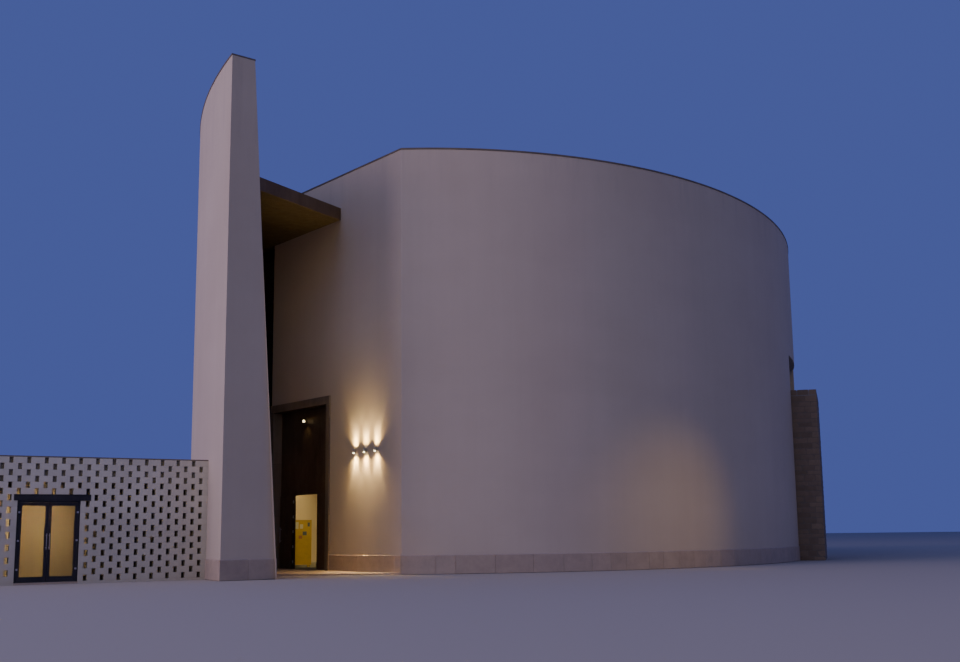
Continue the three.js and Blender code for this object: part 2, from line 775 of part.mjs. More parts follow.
function addLamps() {
  const { width, height } = wallLightBracket;
  wallLightPlaces.forEach((place, i) => {
    const top = wallLightLength / 2;
    const upright = uprightCylinder(wallLightRadius, -top, top, lampSides);
    const tube = toSolid(upright).translate([0, wallLightStandoff, 0]);
    const bracket = toSolid(box(-width / 2, gap, -height / 2, width / 2, wallLightStandoff, height / 2));
    const lamp = addMesh(entrance, `wall_light_${i + 1}`, toGeometry(tube.add(bracket)), steel);
    lamp.position.set(place, 0, wallLightHeight);
  });
  const foot = -lanternDrop - lanternHeight;
  const narrow = 0.75 * lanternRadius;
  const profile = [
    new THREE.Vector2(0, foot),
    new THREE.Vector2(narrow, foot),
    new THREE.Vector2(lanternRadius, foot + lanternHeight / 4),
    new THREE.Vector2(lanternRadius, foot + 3 * lanternHeight / 4),
    new THREE.Vector2(lanternStem, -lanternDrop),
    new THREE.Vector2(lanternStem, -lanternRose),
    new THREE.Vector2(narrow, -lanternRose),
    new THREE.Vector2(narrow, 0),
    new THREE.Vector2(0, 0),
  ];
  const geometry = new THREE.LatheGeometry(profile, lampSides);
  geometry.rotateX(Math.PI / 2);
  const lantern = addMesh(entrance, "portal_lantern", geometry, steel);
  lantern.position.set((portalStart + wallEnd) / 2, -panelSetback / 2, portalHeight - portalHead - 2 * gap);
}

// Side chapel: X along the chord of the opening, Y into the nave.

function chapelFrame() {
  const start = drumPoint(chapelStartAngle);
  const end = drumPoint(chapelEndAngle);
  const frame = new THREE.Group();
  frame.position.set(start.x, start.y, 0);
  frame.rotation.z = Math.atan2(end.y - start.y, end.x - start.x);
  frame.updateMatrixWorld();
  church.add(frame);
  return { frame, length: start.distanceTo(end) };
}

// The drum's wall on either side of the chapel's opening, grown by the gap.
function chapelJambs(frame) {
  const reach = 4 * drumStep;
  const seam = drumSeam / 2;
  const spans = [
    [chapelStartAngle - reach, chapelStartAngle + seam],
    [chapelEndAngle - seam, chapelEndAngle + reach],
  ];
  const [before, after] = spans.map(([start, end]) => (
    toSolid(prism(drumBand(start, end, -gap, drumThickness + gap), -cutMargin, drumHeight))));
  return intoFrame(before.add(after), frame);
}

function addChapel({ frame, length }) {
  const jambs = chapelJambs(frame);
  const low = chapelSide;
  const high = length - chapelSide;
  const outer = -chapelProjection;
  const inner = drumThickness;
  function carved(geometry) {
    return toGeometry(toSolid(geometry).subtract(jambs));
  }
  const front = box(low, outer + chapelWall + gap, 0, low + chapelWall, inner, chapelWallHeight - gap);
  const rear = box(high - chapelWall, outer + chapelWall + gap, 0, high, inner, chapelWallHeight - gap);
  const side = box(low, outer, 0, high, outer + chapelWall, chapelWallHeight - gap);
  const roof = box(low, outer, chapelWallHeight, high, inner, chapelRoofTop);
  addMesh(frame, "chapel_front_wall", carved(front), darkStone);
  addMesh(frame, "chapel_rear_wall", carved(rear), darkStone);
  addMesh(frame, "chapel_outer_wall", side, darkStone);
  addMesh(frame, "chapel_roof", carved(roof), darkStone);

  const bar = clerestoryBar;
  const foot = chapelRoofTop + gap;
  const top = chapelOpeningHeight - gap;
  const glazingHigh = high - clerestoryInset;
  const glazingLow = low + clerestoryInset;
  const middle = (glazingLow + glazingHigh) / 2;
  const panes = [[glazingLow + bar, middle - bar / 2], [middle + bar / 2, glazingHigh - bar]]
    .map(([x0, x1]) => [x0, foot + bar, x1, top - bar]);
  const outline = rectangle(glazingLow, foot, glazingHigh, top);
  const bars = piercedPlate(outline, clerestorySetback + bar, clerestorySetback, panes);
  const sheetFace = clerestorySetback + (bar - clerestoryGlass) / 2;
  const sheet = toSolid(box(glazingLow + rebate, sheetFace, foot + rebate,
    glazingHigh - rebate, sheetFace + clerestoryGlass, top - rebate));
  const clerestory = bars.add(sheet).subtract(jambs);
  addMesh(frame, "chapel_clerestory", toGeometry(clerestory), glass);
}

// Low wing.

// Holes of the screen in a brick bond, where they lie wholly inside the given rectangle.
function screenHoles(x0, z0, x1, z1) {
  const holes = [];
  const columns = Math.ceil(wingLength / holePitch);
  for (let row = 0; row < holeRows; row++) {
    for (let column = row % 2; column < columns; column += 2) {
      const x = holeStart + column * holePitch;
      const z = holeFoot + row * holeRowPitch;
      const [left, right] = [x - holeWidth / 2, x + holeWidth / 2];
      const [foot, top] = [z - holeHeight / 2, z + holeHeight / 2];
      const withinWidth = left > x0 + holeMargin && right < x1 - holeMargin;
      const withinHeight = foot > z0 + holeMargin && top < z1 - holeMargin;
      if (withinWidth && withinHeight) {
        holes.push([left, foot, right, top]);
      }
    }
  }
  return holes;
}

function addScreenWall() {
  const rightOutline = [
    new THREE.Vector2(-wingReachIntoShell, 0),
    new THREE.Vector2(wingDoorStart, 0),
    new THREE.Vector2(wingDoorStart, lintelFoot),
    new THREE.Vector2(lintelStart, lintelFoot),
    new THREE.Vector2(lintelStart, screenHeight),
    new THREE.Vector2(-wingReachIntoShell, screenHeight),
  ];
  // Beside the door a hole may reach up to the lintel, and is then cut through to it.
  const besideDoor = screenHoles(lintelStart, 0, wingDoorStart, lintelFoot + 2 * holeMargin)
    .map(([left, foot, right, top]) => (
      [left, foot, right, lintelFoot - top < bedJoint ? lintelFoot + cutMargin : top]));
  const rightHoles = [...screenHoles(0, 0, lintelStart, screenHeight), ...besideDoor];
  const right = piercedPlate(rightOutline, 0, -screenThickness, rightHoles).subtract(shellBesideWing());
  addMesh(wing, "screen_wall_right", toGeometry(right), plaster);
  const overOutline = rectangle(lintelStart + gap, lintelTop + gap, lintelEnd - gap, screenHeight);
  const overHoles = screenHoles(lintelStart, lintelTop - holeMargin, lintelEnd, screenHeight);
  const over = piercedPlate(overOutline, 0, -screenThickness, overHoles);
  addMesh(wing, "screen_wall_over_door", toGeometry(over), plaster);
  const leftOutline = [
    new THREE.Vector2(wingDoorEnd, 0),
    new THREE.Vector2(wingLength, 0),
    new THREE.Vector2(wingLength, screenHeight),
    new THREE.Vector2(lintelEnd, screenHeight),
    new THREE.Vector2(lintelEnd, lintelFoot),
    new THREE.Vector2(wingDoorEnd, lintelFoot),
  ];
  const leftHoles = screenHoles(lintelEnd, 0, wingLength, screenHeight);
  const left = piercedPlate(leftOutline, 0, -screenThickness, leftHoles);
  addMesh(wing, "screen_wall_left", toGeometry(left), plaster);
  const lintel = box(lintelStart + gap, -screenThickness, lintelFoot + gap,
    lintelEnd - gap, lintelProjection, lintelTop);
  addMesh(wing, "wing_lintel", lintel, darkMetal);
}

function addWingDoor() {
  const start = wingDoorStart + gap;
  const end = wingDoorEnd - gap;
  const head = lintelFoot;
  const outline = [
    new THREE.Vector2(start, floorHeight),
    new THREE.Vector2(start + wingFrameBar, floorHeight),
    new THREE.Vector2(start + wingFrameBar, head - wingFrameBar),
    new THREE.Vector2(end - wingFrameBar, head - wingFrameBar),
    new THREE.Vector2(end - wingFrameBar, floorHeight),
    new THREE.Vector2(end, floorHeight),
    new THREE.Vector2(end, head),
    new THREE.Vector2(start, head),
  ];
  let frame = toSolid(uprightPlate(outline, -wingFrameSetback, -wingFrameSetback - wingFrameDepth));
  const axisY = -wingFrameSetback + wingHinge.offset;
  const axes = [
    { name: "right", x: start + wingFrameBar - wingAxisInset, side: 1 },
    { name: "left", x: end - wingFrameBar + wingAxisInset, side: -1 },
  ];
  for (const { x, side } of axes) {
    for (const height of wingHingeHeights) {
      frame = frame.add(fixedHalf(wingHinge, height, -side).translate([x, axisY, 0]));
    }
  }
  addMesh(wing, "wing_door_frame", toGeometry(frame), darkMetal);
  const farEdge = (axes[1].x - axes[0].x - leafMeetingClearance) / 2;
  for (const { name, x, side } of axes) {
    const leaf = addMesh(wing, `wing_door_leaf_${name}`, wingLeaf(side, farEdge, head), darkMetal);
    leaf.position.set(x, axisY, 0);
  }
}

// A glazed leaf with its hinge axis on the origin: stiles and rails with a pane between them.
function wingLeaf(side, farEdge, head) {
  const nearEdge = wingAxisInset + leafSideClearance;
  const low = Math.min(side * nearEdge, side * farEdge);
  const high = Math.max(side * nearEdge, side * farEdge);
  const foot = floorHeight + leafFootClearance;
  const top = head - wingFrameBar - leafSideClearance;
  const stile = wingLeafStile;
  const front = -wingHinge.offset;
  const back = front - leafThickness;
  const opening = [low + stile, foot + 2 * stile, high - stile, top - stile];
  const bars = piercedPlate(rectangle(low, foot, high, top), front, back, [opening]);
  const paneFront = front - (leafThickness - wingPaneThickness) / 2;
  const pane = toSolid(box(low + rebate, paneFront - wingPaneThickness, foot + rebate,
    high - rebate, paneFront, top - rebate));
  let leaf = bars.add(pane);
  for (const height of wingHingeHeights) {
    leaf = leaf.add(movingHalf(wingHinge, height, side));
  }
  return toGeometry(leaf.add(barHandle(wingHandle, side * (farEdge - stile / 2), front, 1)));
}

function addWingBody() {
  const shell = shellBesideWing();
  const start = -wingReachIntoShell;
  const end = wingLength - wingWall - gap;
  const inside = -screenThickness - gap;
  const back = -wingDepth;
  function clearOfShell(geometry) {
    return toGeometry(toSolid(geometry).subtract(shell));
  }
  const endWall = box(wingLength - wingWall, back, 0, wingLength, inside, wingRoofTop);
  addMesh(wing, "wing_end_wall", endWall, plaster);
  const backWall = box(start, back, 0, end, back + wingWall, wingRoofTop);
  addMesh(wing, "wing_back_wall", clearOfShell(backWall), plaster);
  const floor = box(start, back + wingWall + gap, 0, end, inside, floorHeight);
  addMesh(wing, "wing_floor", clearOfShell(floor), concrete);
  const beamBack = inside - edgeBeam.depth;
  const roof = box(start, back + wingWall + gap, wingRoofFoot, end, beamBack - gap, wingRoofTop);
  addMesh(wing, "wing_roof", clearOfShell(roof), concrete);
  const beam = box(start, beamBack, edgeBeam.foot, end, inside, edgeBeam.top);
  addMesh(wing, "wing_edge_beam", clearOfShell(beam), concrete);
  const threshold = box(wingDoorStart + gap, -screenThickness, 0, wingDoorEnd - gap, 0, floorHeight - gap);
  addMesh(wing, "wing_threshold", threshold, paleStone);
}

addLeftShell();
addLeftShellTrim();
addDrumWalls();
addDrumTrim();
const chapel = chapelFrame();
addFloorAndRoof(chapel);
addEntranceWall();
addLanding();
addPortal();
addPortalLeaves();
addNoticeBoard();
addSlot();
addCanopy();
addLamps();
addChapel(chapel);
addScreenWall();
addWingDoor();
addWingBody();

export default church;
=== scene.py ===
# Looks of the modern church: plaster walls, stone plinths, copings, portal, lamps, chapel and wing.
# Lengths are in metres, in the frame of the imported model: +X right, +Y away from the viewer, +Z up.

import json
import math
import random
from bisect import bisect
from itertools import product

import bmesh
import bpy
from mathutils import Matrix, Vector, noise


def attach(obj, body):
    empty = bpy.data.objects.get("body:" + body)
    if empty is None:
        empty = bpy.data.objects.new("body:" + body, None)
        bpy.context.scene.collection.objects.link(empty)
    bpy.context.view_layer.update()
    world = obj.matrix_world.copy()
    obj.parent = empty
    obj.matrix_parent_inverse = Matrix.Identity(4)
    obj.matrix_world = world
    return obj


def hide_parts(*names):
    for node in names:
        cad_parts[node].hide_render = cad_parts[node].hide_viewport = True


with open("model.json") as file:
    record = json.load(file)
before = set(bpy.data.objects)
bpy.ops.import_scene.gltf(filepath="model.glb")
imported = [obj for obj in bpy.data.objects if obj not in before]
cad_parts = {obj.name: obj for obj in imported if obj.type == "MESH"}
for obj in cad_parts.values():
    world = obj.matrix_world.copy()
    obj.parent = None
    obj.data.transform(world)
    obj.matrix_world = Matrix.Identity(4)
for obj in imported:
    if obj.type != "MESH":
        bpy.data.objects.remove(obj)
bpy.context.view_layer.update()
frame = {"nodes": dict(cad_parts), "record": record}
nodes = frame["nodes"]

BUILDING = "building"
UP = Vector((0, 0, 1))

# Plan of the drum, as in the frame: half an ellipse in front and a shorter half behind.
DRUM_HALF_WIDTH = 15.5
DRUM_FRONT_DEPTH = 20.77
DRUM_REAR_DEPTH = 12.0
DRUM_CORNER = math.radians(-1.79)
DRUM_END = math.radians(161)
DRUM_THICKNESS = 0.5
DRUM_HEIGHT = 12.55

# Plan of the left-hand wall: an arc with an upright outer face and a leaning inner one.
SHELL_CENTRE = Vector((19.424, -11.744))
SHELL_RADIUS = 27.355
SHELL_FRONT = math.radians(207.35)
SHELL_REAR = math.radians(120)
SHELL_HEIGHT = 14.14
SHELL_FOOT_THICKNESS = 1.58
SHELL_TOP_THICKNESS = 0.693
SHELL_END_DIRECTION = math.radians(40.4)
SHELL_SLANT = SHELL_END_DIRECTION - (SHELL_FRONT - math.pi)

# Entrance wall, measured along its face from the drum's corner.
WALL_DIRECTION = math.radians(128.1)
WALL_END = 7.83
PORTAL_START = 3.97
PORTAL_HEIGHT = 5.49
PORTAL_MIDDLE = (PORTAL_START + WALL_END) / 2
PORTAL_JAMB = 0.205
PORTAL_HEAD = 0.26
PANEL_SETBACK = 0.3
DOORWAY_START = 5.15
DOORWAY_END = 6.72
DOORWAY_HEIGHT = 2.44
FLOOR = 0.05
CANOPY_FRONT = math.radians(241)

# Side chapel.
CHAPEL_START = math.radians(61.8)
CHAPEL_END = math.radians(75)
CHAPEL_OPENING_HEIGHT = 7.75
CHAPEL_PROJECTION = 0.95
CHAPEL_SIDE = 0.02
CHAPEL_WALL = 0.35
CHAPEL_WALL_HEIGHT = 6.16
CHAPEL_TOP = 6.41

# Low wing.
WING_ORIGIN = Vector((-5.585, -22.9))
WING_DIRECTION = math.radians(212.77)
WING_LENGTH = 6.4
WING_WALL = 0.25
SCREEN_HEIGHT = 3.17
SCREEN_THICKNESS = 0.15
WING_DOOR_START = 3.31
WING_DOOR_END = 4.85
LINTEL_START = 3.06
LINTEL_END = 4.94
LINTEL_FOOT = 2.06
LINTEL_TOP = 2.21

# Trim. FIT is the gap where two pieces meet.
FIT = 0.0003
PLINTH_FOOT = 0.01
PLINTH_HEIGHT = 0.54
PLINTH_PROJECTION = 0.025
PLINTH_EMBED = 0.012
COPING_THICKNESS = 0.05
COPING_OVERHANG = 0.015


# Spans and plan curves

def evenly(start, end, count):
    """Values from start to end with a number of equal steps between them."""
    return [start + (end - start) * i / count for i in range(count + 1)]


def spaced(start, end, step):
    """Values from start to end, no more than a step apart."""
    return evenly(start, end, max(1, math.ceil((end - start) / step)))


def inset(span, by):
    return span[0] + by, span[1] - by


def about(middle, half):
    return middle - half, middle + half


def split(start, end, count, joint):
    """A number of equal spans with joints between them."""
    size = (end - start) / count
    return [
        (start + i * size + (joint / 2 if i else 0.0),
         start + (i + 1) * size - (joint / 2 if i < count - 1 else 0.0))
        for i in range(count)
    ]


def direction(angle):
    return Vector((math.cos(angle), math.sin(angle)))


def turned(vector):
    """The vector turned by a quarter turn to the left."""
    return Vector((-vector.y, vector.x))


def raised(point, height):
    return Vector((point.x, point.y, height))


def drum_point(angle, offset=0.0):
    """A point of the drum's plan, moved outwards by the offset."""
    depth = DRUM_FRONT_DEPTH if angle < math.pi / 2 else DRUM_REAR_DEPTH
    point = Vector((DRUM_HALF_WIDTH * math.sin(angle), -depth * math.cos(angle)))
    normal = Vector((depth * math.sin(angle), -DRUM_HALF_WIDTH * math.cos(angle))).normalized()
    return point + offset * normal


def drum_t(angle):
    return (angle - DRUM_CORNER) * DRUM_HALF_WIDTH


CORNER = drum_point(DRUM_CORNER)
WALL_ALONG = direction(WALL_DIRECTION)
WALL_OUT = turned(WALL_ALONG)


def entrance_point(distance, offset=0.0):
    return CORNER + distance * WALL_ALONG + offset * WALL_OUT


def front_point(t, offset=0.0):
    """The entrance wall and the drum as one line: t is below 0 on the wall and above 0 on the drum."""
    if t < 0:
        return entrance_point(-t, offset)
    if t > 0:
        return drum_point(DRUM_CORNER + t / DRUM_HALF_WIDTH, offset)
    drum_out = drum_point(DRUM_CORNER, 1) - CORNER
    return CORNER + (drum_out + WALL_OUT) * (offset / (1 + drum_out.dot(WALL_OUT)))


def shell_thickness(height):
    return SHELL_FOOT_THICKNESS + (SHELL_TOP_THICKNESS - SHELL_FOOT_THICKNESS) * height / SHELL_HEIGHT


def shell_point(angle, offset=0.0):
    """A point of the left-hand wall's plan; its front end is cut at a slant."""
    if angle == SHELL_FRONT:
        corner = SHELL_CENTRE + SHELL_RADIUS * direction(SHELL_FRONT)
        return corner - (offset / math.cos(SHELL_SLANT)) * direction(SHELL_END_DIRECTION)
    return SHELL_CENTRE + (SHELL_RADIUS + offset) * direction(angle)


CHAPEL_ORIGIN = drum_point(CHAPEL_START)
CHAPEL_CHORD = drum_point(CHAPEL_END) - CHAPEL_ORIGIN
CHAPEL_ALONG = CHAPEL_CHORD.normalized()
CHAPEL_IN = turned(CHAPEL_ALONG)
CHAPEL_SPAN = inset((0.0, CHAPEL_CHORD.length), CHAPEL_SIDE)


def chapel_point(x, y):
    return CHAPEL_ORIGIN + x * CHAPEL_ALONG + y * CHAPEL_IN


WING_ALONG = direction(WING_DIRECTION)
WING_OUT = turned(WING_ALONG)


def wing_point(x, y):
    return WING_ORIGIN + x * WING_ALONG + y * WING_OUT


class Walk:
    """A plan line walked by its length. place(t, offset) gives its points, offset outwards."""

    def __init__(self, place, start, end, steps=400):
        self.place = place
        self.values = evenly(start, end, steps)
        points = [place(t, 0.0) for t in self.values]
        self.lengths = [0.0]
        for a, b in zip(points, points[1:]):
            self.lengths.append(self.lengths[-1] + (b - a).length)
        self.length = self.lengths[-1]

    def at(self, distance, offset=0.0):
        if distance <= 0:
            return self.place(self.values[0], offset)
        if distance >= self.length:
            return self.place(self.values[-1], offset)
        i = bisect(self.lengths, distance) - 1
        share = (distance - self.lengths[i]) / (self.lengths[i + 1] - self.lengths[i])
        return self.place(self.values[i] + (self.values[i + 1] - self.values[i]) * share, offset)


# Meshes

WALK_STEP = 0.4
BEVEL_ANGLE = math.radians(40)
STONE_CELL = 0.085
STONE_EDGE = 0.007
STONE_ROUGHNESS = 0.006
STONE_NOISE_SCALE = 7.0


class Solids:
    """Collects the closed solids of one piece, each with a tone of its own from 0 to 1."""

    def __init__(self):
        self.points = []
        self.faces = []
        self.tones = []

    def add(self, points, faces, tone=0.5):
        base = len(self.points)
        self.points += [tuple(point) for point in points]
        self.faces += [[base + i for i in face] for face in faces]
        self.tones += [tone] * len(faces)

    def stack(self, rings, tone=0.5):
        """A solid through rings with as many points each."""
        count = len(rings[0])
        last = (len(rings) - 1) * count
        faces = [list(range(count))[::-1], list(range(last, last + count))]
        for first in range(0, last, count):
            for i in range(count):
                j = (i + 1) % count
                faces.append([first + i, first + j, first + count + j, first + count + i])
        self.add([point for ring in rings for point in ring], faces, tone)

    def upright(self, outline, foot, top, tone=0.5):
        """An upright prism over a plan outline."""
        self.stack([[raised(p, z) for p in outline] for z in (foot, top)], tone)

    def bar(self, place, x, y, z, tone=0.5):
        """A box in a frame given by place(x, y). Each of x, y and z is a span."""
        outline = [place(x[0], y[0]), place(x[1], y[0]), place(x[1], y[1]), place(x[0], y[1])]
        self.upright(outline, *z, tone)

    def rim(self, place, x, y, z, bar, foot_bar=None):
        """Upright bars at both sides of a field, and level ones between them at its foot and top."""
        for stile in ((x[0], x[0] + bar), (x[1] - bar, x[1])):
            self.bar(place, stile, y, z)
        for rail in ((z[0], z[0] + (foot_bar or bar)), (z[1] - bar, z[1])):
            self.bar(place, inset(x, bar), y, rail)

    def cylinder(self, foot, axis, radius, length, sides=24, far_radius=None):
        """A round solid from its foot along an axis; it may taper to another radius."""
        axis = axis.normalized()
        side = axis.orthogonal().normalized()
        other = axis.cross(side)
        rings = []
        for at, size in ((0.0, radius), (length, far_radius or radius)):
            middle = foot + at * axis
            turns = [2 * math.pi * i / sides for i in range(sides)]
            rings.append([middle + size * (math.cos(a) * side + math.sin(a) * other) for a in turns])
        self.stack(rings)

    def revolve(self, centre, profile, sides=32):
        """A solid of revolution about an upright axis. Its (radius, height) points end on the axis."""
        points = []
        rings = []
        for radius, height in profile:
            count = sides if radius else 1
            rings.append([len(points) + i % count for i in range(sides)])
            for i in range(count):
                points.append(centre + raised(radius * direction(2 * math.pi * i / sides), height))
        faces = []
        for lower, upper in zip(rings, rings[1:]):
            for i in range(sides):
                j = (i + 1) % sides
                face = list(dict.fromkeys((lower[i], lower[j], upper[j], upper[i])))
                if len(face) > 2:
                    faces.append(face)
        self.add(points, faces)

    def sweep(self, walk, start, end, section, height, tone=0.5, step=WALK_STEP):
        """A section of (offset, rise) points carried along a walk, with flat ends."""
        self.stack([
            [raised(walk.at(distance, offset), height + rise) for offset, rise in section]
            for distance in spaced(start, end, step)
        ], tone)

    def rough_block(self, place, x, y, z, tone):
        """A box whose faces are uneven and whose edges are worn."""
        spans = (x, y, z)
        counts = [max(2, round((b - a) / STONE_CELL)) for a, b in spans]
        index = {}
        points = []
        for key in product(*(range(count + 1) for count in counts)):
            ends = [n in (0, count) for n, count in zip(key, counts)]
            if not any(ends):
                continue
            spot = []
            for n, count, (a, b), end in zip(key, counts, spans, ends):
                at = a + (b - a) * n / count
                if end and sum(ends) > 1:
                    at += STONE_EDGE if n == 0 else -STONE_EDGE
                spot.append(at)
            point = raised(place(spot[0], spot[1]), spot[2])
            index[key] = len(points)
            points.append(point + STONE_ROUGHNESS * noise.noise_vector(point * STONE_NOISE_SCALE))
        faces = []
        for axis in range(3):
            first, second = [n for n in range(3) if n != axis]
            for side, u, v in product((0, counts[axis]), range(counts[first]), range(counts[second])):
                face = []
                for du, dv in ((0, 0), (1, 0), (1, 1), (0, 1)):
                    key = [side] * 3
                    key[first] = u + du
                    key[second] = v + dv
                    face.append(index[tuple(key)])
                faces.append(face)
        self.add(points, faces, tone)

    def solid(self, cells, tone):
        """Takes over the mesh of a bmesh solid."""
        cells.verts.index_update()
        faces = [[v.index for v in face.verts] for face in cells.faces]
        self.add([v.co for v in cells.verts], faces, tone)

    def make(self, name, material, slot, body=BUILDING, replaced=(), bevel=0.0, smooth=35):
        mesh = bpy.data.meshes.new(name)
        mesh.from_pydata(self.points, [], self.faces)
        tones = mesh.attributes.new("tone", "FLOAT", "FACE")
        tones.data.foreach_set("value", self.tones)
        clean = bmesh.new()
        clean.from_mesh(mesh)
        loose = [v for v in clean.verts if not v.link_faces]
        bmesh.ops.delete(clean, geom=loose, context="VERTS")
        bmesh.ops.recalc_face_normals(clean, faces=clean.faces)
        clean.to_mesh(mesh)
        clean.free()
        mesh.polygons.foreach_set("use_smooth", [True] * len(mesh.polygons))
        mesh.set_sharp_from_angle(angle=math.radians(smooth))
        mesh.materials.append(material)
        piece = bpy.data.objects.new(name, mesh)
        bpy.context.scene.collection.objects.link(piece)
        if bevel:
            rounding = piece.modifiers.new("rounding", "BEVEL")
            rounding.width = bevel
            rounding.segments = 2
            rounding.limit_method = "ANGLE"
            rounding.angle_limit = BEVEL_ANGLE
            rounding.use_clamp_overlap = True
        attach(piece, body)
        if replaced:
            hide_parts(*replaced)


def wall_solid(outer, inner, solid):
    """A wall from two grids of points, [station][level], where solid(i, k) says if a cell is wall."""
    stations, levels = len(outer), len(outer[0])
    cells = list(product(range(stations - 1), range(levels - 1)))
    walled = {cell for cell in cells if solid(*cell)}

    def corner(i, k, side):
        return (side * stations + i) * levels + k

    faces = []
    for i, k in cells:
        if (i, k) not in walled:
            continue
        for side in (0, 1):
            faces.append([corner(i, k, side), corner(i + 1, k, side),
                          corner(i + 1, k + 1, side), corner(i, k + 1, side)])
        edges = (
            ((i - 1, k), (i, k), (i, k + 1)),
            ((i + 1, k), (i + 1, k), (i + 1, k + 1)),
            ((i, k - 1), (i, k), (i + 1, k)),
            ((i, k + 1), (i, k + 1), (i + 1, k + 1)),
        )
        for beyond, a, b in edges:
            if beyond not in walled:
                faces.append([corner(*a, 0), corner(*b, 0), corner(*b, 1), corner(*a, 1)])
    made = Solids()
    made.add([point for grid in (outer, inner) for column in grid for point in column], faces)
    return made


# Materials

def grey(value):
    return value, value, value


WHITE = grey(1.0)


class Surface:
    """A node material, built step by step on its Principled shader."""

    def __init__(self, name, roughness, metallic=0.0):
        self.material = bpy.data.materials.new(name)
        self.material.use_nodes = True
        self.tree = self.material.node_tree
        self.shader = self.tree.nodes["Principled BSDF"]
        self.set("Roughness", roughness)
        self.set("Metallic", metallic)
        self.place = self.node("TexCoord").outputs["Object"]

    def link(self, value, socket):
        """Feeds a socket from a node's output, or with a constant."""
        if isinstance(value, bpy.types.NodeSocket):
            self.tree.links.new(value, socket)
        elif socket.type == "RGBA":
            socket.default_value = (*value, 1.0)
        else:
            socket.default_value = value

    def set(self, name, value):
        self.link(value, self.shader.inputs[name])

    def node(self, kind, settings=(), **inputs):
        """A node with its settings and inputs; an underscore stands for a space."""
        node = self.tree.nodes.new(f"ShaderNode{kind}")
        for key, value in settings:
            setattr(node, key, value)
        for key, value in inputs.items():
            self.link(value, node.inputs[key.replace("_", " ")])
        return node

    def mapped(self, scale=(1, 1, 1), turn=0.0):
        node = self.node("Mapping", Vector=self.place, Scale=scale, Rotation=(0, 0, turn))
        return node.outputs["Vector"]

    def noise(self, scale, detail=4.0, roughness=0.6, stretch=(1, 1, 1), turn=0.0):
        vector = self.mapped(stretch, turn)
        node = self.node("TexNoise", Vector=vector, Scale=scale, Detail=detail, Roughness=roughness)
        return node.outputs["Fac"]

    def grains(self, scale):
        return self.node("TexVoronoi", Vector=self.place, Scale=scale).outputs["Distance"]

    def rows(self, length, width, joint, turn):
        """Rows of sheets on a level surface: their tones and their joints."""
        node = self.node(
            "TexBrick", Vector=self.mapped(turn=turn), Scale=1.0, Brick_Width=length, Row_Height=width,
            Mortar_Size=joint, Color1=grey(0), Color2=WHITE, Mortar=grey(0.5))
        return node.outputs["Color"], node.outputs["Fac"]

    def tone(self):
        return self.node("Attribute", [("attribute_name", "tone")]).outputs["Fac"]

    def height(self, source=None):
        """The upward part of the place, or of another vector."""
        return self.node("SeparateXYZ", Vector=source or self.place).outputs["Z"]

    def ramp(self, value, *stops, steps=False):
        """Colours at places from 0 to 1, blended or in steps."""
        ramp = self.node("ValToRGB", Fac=value)
        ramp.color_ramp.interpolation = "CONSTANT" if steps else "LINEAR"
        elements = ramp.color_ramp.elements
        while len(elements) < len(stops):
            elements.new(0.5)
        for element, (place, colour) in zip(elements, stops):
            element.position = place
            element.color = (*colour, 1.0)
        return ramp.outputs["Color"]

    def fade(self, value, low, high, at_low=0.0, at_high=1.0):
        """Follows a value from low to high, with other numbers at its ends."""
        node = self.node(
            "MapRange", Value=value, From_Min=low, From_Max=high, To_Min=at_low, To_Max=at_high)
        return node.outputs["Result"]

    def mix(self, share, first, second, kind="MIX"):
        settings = [("data_type", "RGBA"), ("blend_type", kind)]
        return self.node("Mix", settings, Factor=share, A=first, B=second).outputs["Result"]

    def tinted(self, share, base, tint):
        return self.mix(share, base, tint, "MULTIPLY")

    def times(self, first, second):
        node = self.node("Math", [("operation", "MULTIPLY")])
        self.link(first, node.inputs[0])
        self.link(second, node.inputs[1])
        return node.outputs["Value"]

    def colour(self, value):
        self.set("Base Color", value)

    def rough(self, value, low, high, start=0.3, end=0.7):
        """Roughness between two bounds, by a value."""
        self.set("Roughness", self.fade(value, start, end, low, high))

    def bump(self, height, distance, strength=1.0):
        """Relief on top of what is there already."""
        bump = self.node("Bump", Height=height, Distance=distance, Strength=strength)
        normal = self.shader.inputs["Normal"]
        if normal.is_linked:
            self.link(normal.links[0].from_socket, bump.inputs["Normal"])
        self.link(bump.outputs["Normal"], normal)


def plaster_material():
    """Fine lime plaster: faint upright streaks, cloudy patches and a trowelled grain."""
    s = Surface("plaster", 0.88)
    base = s.ramp(s.noise(0.22, 5), (0.3, (0.580, 0.490, 0.385)), (0.7, (0.630, 0.540, 0.430)))
    streaks = s.ramp(s.noise(1.6, 6, 0.65, (1, 1, 0.035)), (0.35, (0.91, 0.90, 0.89)), (0.62, WHITE))
    base = s.tinted(0.28, base, streaks)
    lifts = s.ramp(s.noise(0.9, 3, 0.5, (0.25, 0.25, 1)), (0.42, grey(0.965)), (0.58, WHITE))
    base = s.tinted(0.6, base, lifts)
    damp = s.times(s.fade(s.height(), 0.3, 1.7, 0.16, 0.0), s.noise(1.1, 4))
    base = s.mix(damp, base, (0.42, 0.33, 0.25))
    below_top = s.fade(s.height(), DRUM_HEIGHT - 1.6, DRUM_HEIGHT, 0.0, 0.28)
    runs = s.fade(s.noise(3.0, 4, 0.6, (1, 1, 0.12)), 0.5, 0.72)
    s.colour(s.mix(s.times(below_top, runs), base, (0.40, 0.34, 0.29)))
    s.rough(s.noise(7, 3), 0.82, 0.94)
    s.bump(s.noise(2.2, 3, 0.5), 0.012, 0.35)
    s.bump(s.noise(90, 3, 0.7), 0.0012, 0.55)
    return s.material


